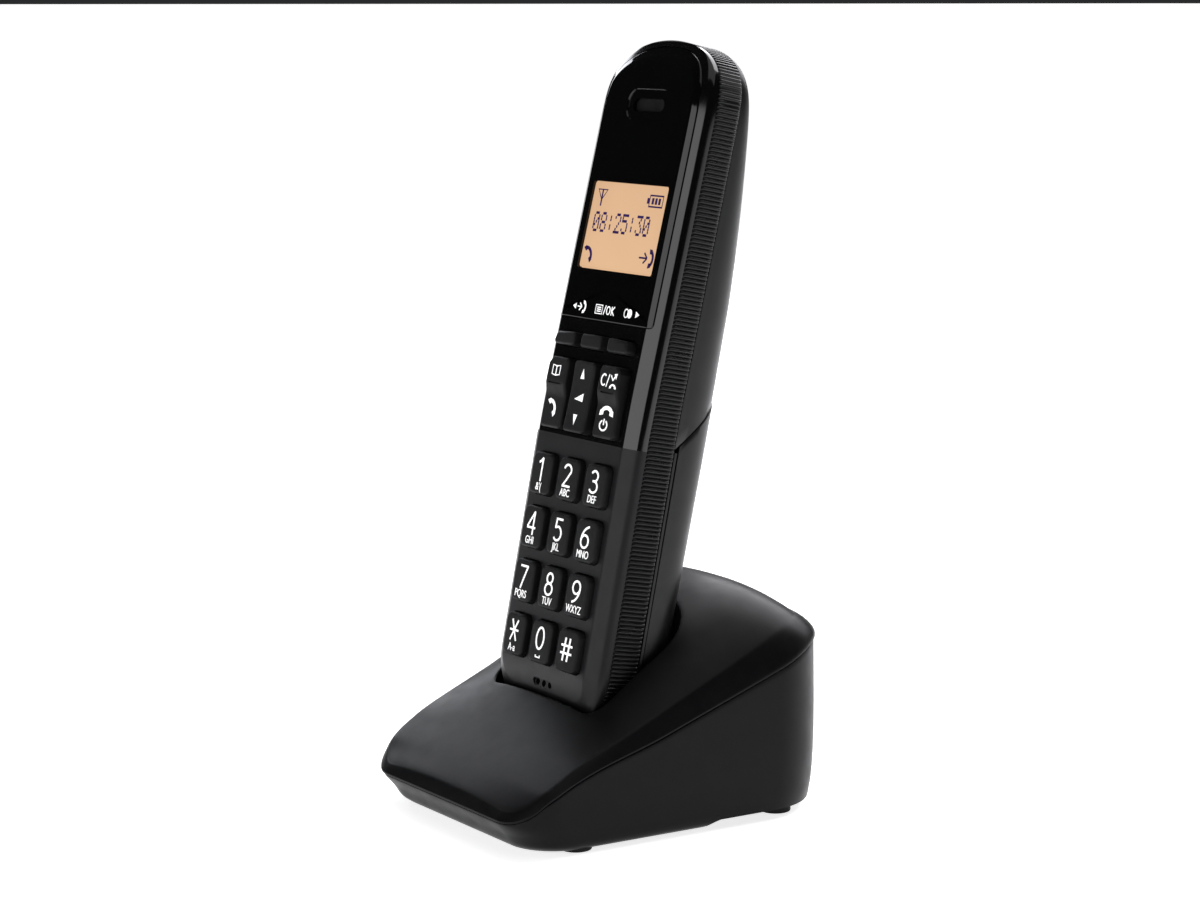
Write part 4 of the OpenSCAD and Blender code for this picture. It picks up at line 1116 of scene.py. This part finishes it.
def faceplate_marks():
    """Soft key symbols along the faceplate's lower edge."""
    place = at_face(0, 98.9, 0.01)
    left = [shape([(-14.3, 0), (-12.9, -0.75), (-12.9, 0.75)], place)]
    left += lines(place, 0.3, [(-12.3, 0), (-11.4, 0), (-10.5, 0)], [(-11.4, 0.95), (-10.4, 0)],
                  [(-10.4, 0), (-11.4, -0.95)])
    left += handset_mark(-9.2, 0, 1.5, 90, place)
    page = [stroke([(-4.2, -1.1), (-4.2, 1.1), (-1.3, 1.1), (-1.3, -1.1)], 0.28, place, closed=True)]
    page += lines(place, 0.28, *[[(-3.6, k), (-2.75, k), (-1.9, k)] for k in (-0.5, 0, 0.5)])
    middle = lines(place, 0.26, [(-0.55, -1.2), (-0.2, 0), (0.15, 1.2)])
    middle.append(stroke(arc(1.4, 0, 0.98, 0, 360, 23, 0.75)[:-1], 0.3, place, closed=True))
    middle += lines(place, 0.3, [(2.85, -1.1), (2.85, 0), (2.85, 1.1)], [(4.0, 1.1), (2.9, 0.05)],
                    [(2.9, 0.05), (4.05, -1.1)])
    right = [stroke(arc(9.2, 0, 1.05, 0, 360, 23, 0.8)[:-1], 0.26, place, closed=True),
             shape(arc(10.7, 0, 1.15, 0, 360, 23, 0.8)[:-1], place),
             shape([(14.8, 0), (13.3, 0.8), (13.3, -0.8)], place)]
    return [paint(m, "print_white") for m in left + page + middle + right]


piece(joined(faceplate_marks(), "faceplate_symbols"), "handset", "faceplate_gloss")


# ---- grip band ----

def grip_band():
    """Ribbed strip over both sides and the top: one rib section swept along the outline."""
    right = OUTLINE[:len(OUTLINE) // 2 + 1]
    right = right[right[:, 1] > 2.0]
    half = np.vstack([right, (right * [-1, 1])[::-1][1:]])
    length = np.linalg.norm(np.diff(half, axis=0), axis=1).sum()
    ribs = int(round(length / RIB_PITCH))
    steps = [0, 0.12, 0.3, 0.48, 0.6, 0.72, 0.88]
    sink = [0.05, 0.0, 0.0, 0.06, 0.36, 0.44, 0.36]
    dense = resampled(half, 4001)
    where = np.array([(k + s) / ribs for k in range(ribs) for s in steps] + [1.0])
    depth = np.array([d for _ in range(ribs) for d in sink] + [sink[0]])
    at = where * 4000
    points = np.stack([np.interp(at, np.arange(4001), dense[:, k]) for k in range(2)], 1)
    along = np.gradient(points, axis=0)
    along /= np.linalg.norm(along, axis=1)[:, None]
    inside = np.stack([-along[:, 1], along[:, 0]], 1)
    z = points[:, 1]
    front, rear = band_front(z) + 0.04, band_rear(z) - 0.04
    section = [(front, 0.9, 0), (front + 0.1, 0.42, 0.2), (front + 0.3, 0.12, 0.8), (front + 0.6, 0, 1),
               (front * 0.5 + rear * 0.5, 0, 1), (rear - 0.7, 0, 1), (rear - 0.35, 0.1, 0.8),
               (rear - 0.12, 0.4, 0.2), (rear, 0.9, 0), (rear, 2.2, 0), (front, 2.2, 0)]
    rows = []
    for y, inset, share in section:
        p = points + inside * (inset + depth * share)[:, None]
        rows.append(np.stack([p[:, 0], y, p[:, 1]], 1))
    loops = [np.array([row[k] for row in rows]) for k in range(len(points))]
    return loft("grip_band_ribs", loops, sharp_degrees=50)


piece(grip_band(), "handset", "band_plastic", "handset_grip_band")


# ---- handset back ----

BACK_N = 72             # points across the back


def back_loop(z, inset, lift):
    """A cross-section of the back whose points may lie at different heights."""
    z = np.broadcast_to(np.asarray(z, float), (BACK_N,))
    taper = 0.00006 * (z - 95) ** 2
    a = np.maximum(top_half(z, HALF_W - 0.35 - taper) - inset, 0.02)
    y0 = band_rear(z) + lift
    x, y = oval_half(a, y0, np.maximum(back(z) - inset - y0, 0.02), BACK_N)
    return np.stack([x, y, z], 1)


def seam_heights(shift, inset, lift):
    """Height of the seam at each point of a section, which depends on the point's own depth."""
    z = np.full(BACK_N, 76.0)
    for _ in range(8):
        z = SEAM_Z + shift + (back_loop(z, inset, lift)[:, 1] - SEAM_Y) * SEAM_RISE
    return z


def rear_case():
    loops = []
    start = seam_heights(0.12, 0, 0)
    for inset, shift in ((9, 0), (1.6, 0), (0.25, 0), (0.08, 0.06), (0, 0.22)):
        loops.append(back_loop(start + shift, inset, 0))
    for s in np.sin(np.linspace(0, math.pi / 2, 46))[1:]:
        z = start + 0.22 + (TOP - 0.02 - start - 0.22) * s
        loops.append(back_loop(z, 0, 0))
    upper = loft("rear_case_upper", loops)
    tray = mirrored_loop(outline_half(HALF_W - 0.4, TOP), 200)
    tray[:, 1] = np.minimum(tray[:, 1], SEAM_Z - 1)
    slab = loft("tray", [with_depth(inward(tray, d), y) for d, y in
                         ((0.4, 17.95), (0, 18.1), (0, 18.8), (0.4, 18.95))])
    ends = [block(31, 1.2, 0.3, (0, z), 18, 26.9) for z in (10.8, 61.8)]
    cut(upper, [block(12, 1.1, 0.5, (0, RINGER_Z + i * 2.6), 26, 40) for i in range(-2, 3)])
    return joined([upper, slab] + ends, "handset_rear_shell")


def battery_cover():
    lift = 1.35
    end = seam_heights(-0.3, 0, lift)
    loops = []
    low = np.full(BACK_N, COVER_LOW)
    for inset, up in ((2.2, 0), (1.2, 0.2), (0.6, 0.55), (0.25, 1.0), (0.06, 1.8), (0, 3)):
        loops.append(back_loop(low + up, inset, lift))
    for s in np.linspace(0, 1, 36)[1:]:
        loops.append(back_loop(low + 3 + (end - 0.2 - low - 3) * s, 0, lift))
    for inset, shift in ((0.08, 0.14), (0.25, 0.2), (1.6, 0.2)):
        loops.append(back_loop(end - 0.2 + shift, inset, lift))
    loops += [back_loop(low + 1.6 + (end - 1.6 - low) * s, 1.5, lift) for s in (1, 0.75, 0.5, 0.25, 0)]
    o = loft("battery_door", loops)
    return cut(o, [block(10 - abs(i - 2) * 1.2, 0.75, 0.35, (0, 58.4 + 1.6 * i), float(back(60)) - 0.4, 40)
                   for i in range(5)])


piece(rear_case(), "handset", "rear_plastic", "handset_rear_case")
piece(battery_cover(), "battery_cover", "rear_plastic", "battery_cover")


# ---- what stays from the CAD model ----

def earpiece_guard():
    """Woven guard behind the earpiece slot."""
    return loft("earpiece_guard", [with_depth(round_rect(15 * s, 5.6 * s, 2.5 * s), y)
                                   for s, y in ((0.02, 1.5), (0.6, 1.45), (0.97, 1.4), (1, 1.5), (1, 1.9),
                                                (0.02, 1.9))], at_face(0, EAR_Z))


piece(paint(earpiece_guard(), "speaker_cloth"), "handset", "inner_plastic")

slots_by_node = {s["node"]: s["material_slot"] for s in frame["record"]["subparts"]}
for node_name, node_object in frame["nodes"].items():
    node_object.data.materials.clear()
    node_object.data.materials.append(M[slots_by_node[node_name]])


# ---- stage: floor, lights and camera ----

def stage_material():
    """Pale paper that glows a little more away from the middle, so that it stays even to the horizon."""
    m, tree, shader = node_material("floor_paper")
    tree.links.new(ramp(tree, noise(tree, 3, 3), (0.8, 0.8, 0.805), (0.83, 0.83, 0.83)),
                   shader.inputs["Base Color"])
    coords = tree.nodes.new("ShaderNodeTexCoord")
    distance = tree.nodes.new("ShaderNodeVectorMath")
    distance.operation = "LENGTH"
    tree.links.new(coords.outputs["Object"], distance.inputs[0])
    tree.links.new(mapped(tree, distance.outputs["Value"], 0.8, 0.99, 0.15, 1.2), shader.inputs["Emission Strength"])
    preset(shader, Emission_Color=(1, 1, 1, 1), Roughness=0.9, Specular_IOR_Level=0.1)
    return m


FLOOR = 150             # half width of the floor, in metres
floor = new_object("floor", [(-1, -1, 0), (1, -1, 0), (1, 1, 0), (-1, 1, 0)], [(0, 1, 2, 3)],
                   Matrix.Scale(FLOOR, 4))
floor.data.materials.append(stage_material())

world = bpy.data.worlds.new("studio")
bpy.context.scene.world = world
world.use_nodes = True
preset(world.node_tree.nodes["Background"], Color=(0.92, 0.95, 1.0, 1), Strength=0.025)


AIM = Vector((0, 0, 0.09))


def aimed(o, position, target):
    """Puts a light or camera at a position, looking at the target."""
    bpy.context.scene.collection.objects.link(o)
    o.location = position
    o.rotation_euler = (target - Vector(position)).to_track_quat("-Z", "Y").to_euler()


def softbox(name, position, width, height, radiance, colour=(1, 1, 1)):
    """A rectangular light towards the object that looks equally bright whatever its size."""
    data = bpy.data.lights.new(name, "AREA")
    data.shape = "RECTANGLE"
    data.size, data.size_y = width, height
    data.energy = radiance * math.pi * width * height
    data.color = colour
    aimed(bpy.data.objects.new(name, data), position, AIM)


for light in [
    ("overhead", (0.15, 0.1, 1.6), 2.1, 2.1, 0.7),
    ("front", (0.1, -1.3, 0.36), 0.85, 0.72, 2.5),
    ("left", (-1.15, 0.2, 0.53), 0.7, 0.38, 4.8, (0.93, 0.95, 1.0)),
    ("rear", (-0.37, 0.82, 0.98), 1.4, 1.2, 5.0, (0.97, 0.96, 1.0)),
    ("rear_right", (0.25, 1.3, 0.26), 0.8, 0.5, 0.5),
]:
    softbox(*light)

LENS_PX = 2919.77       # focal length in pixels of a frame 1200 pixels wide
SENSOR_MM = 36
camera_data = bpy.data.cameras.new("camera")
camera_data.sensor_width = SENSOR_MM
camera_data.lens = LENS_PX * SENSOR_MM / 1200
camera_data.clip_start = 0.01
camera_data.clip_end = 400
camera = bpy.data.objects.new("camera", camera_data)
aimed(camera, (0.5981, -0.4067, 0.2022), Vector((0.03559, -0.0245, 0.0975)))
bpy.context.scene.camera = camera
bpy.context.scene.view_settings.view_transform = "Standard"
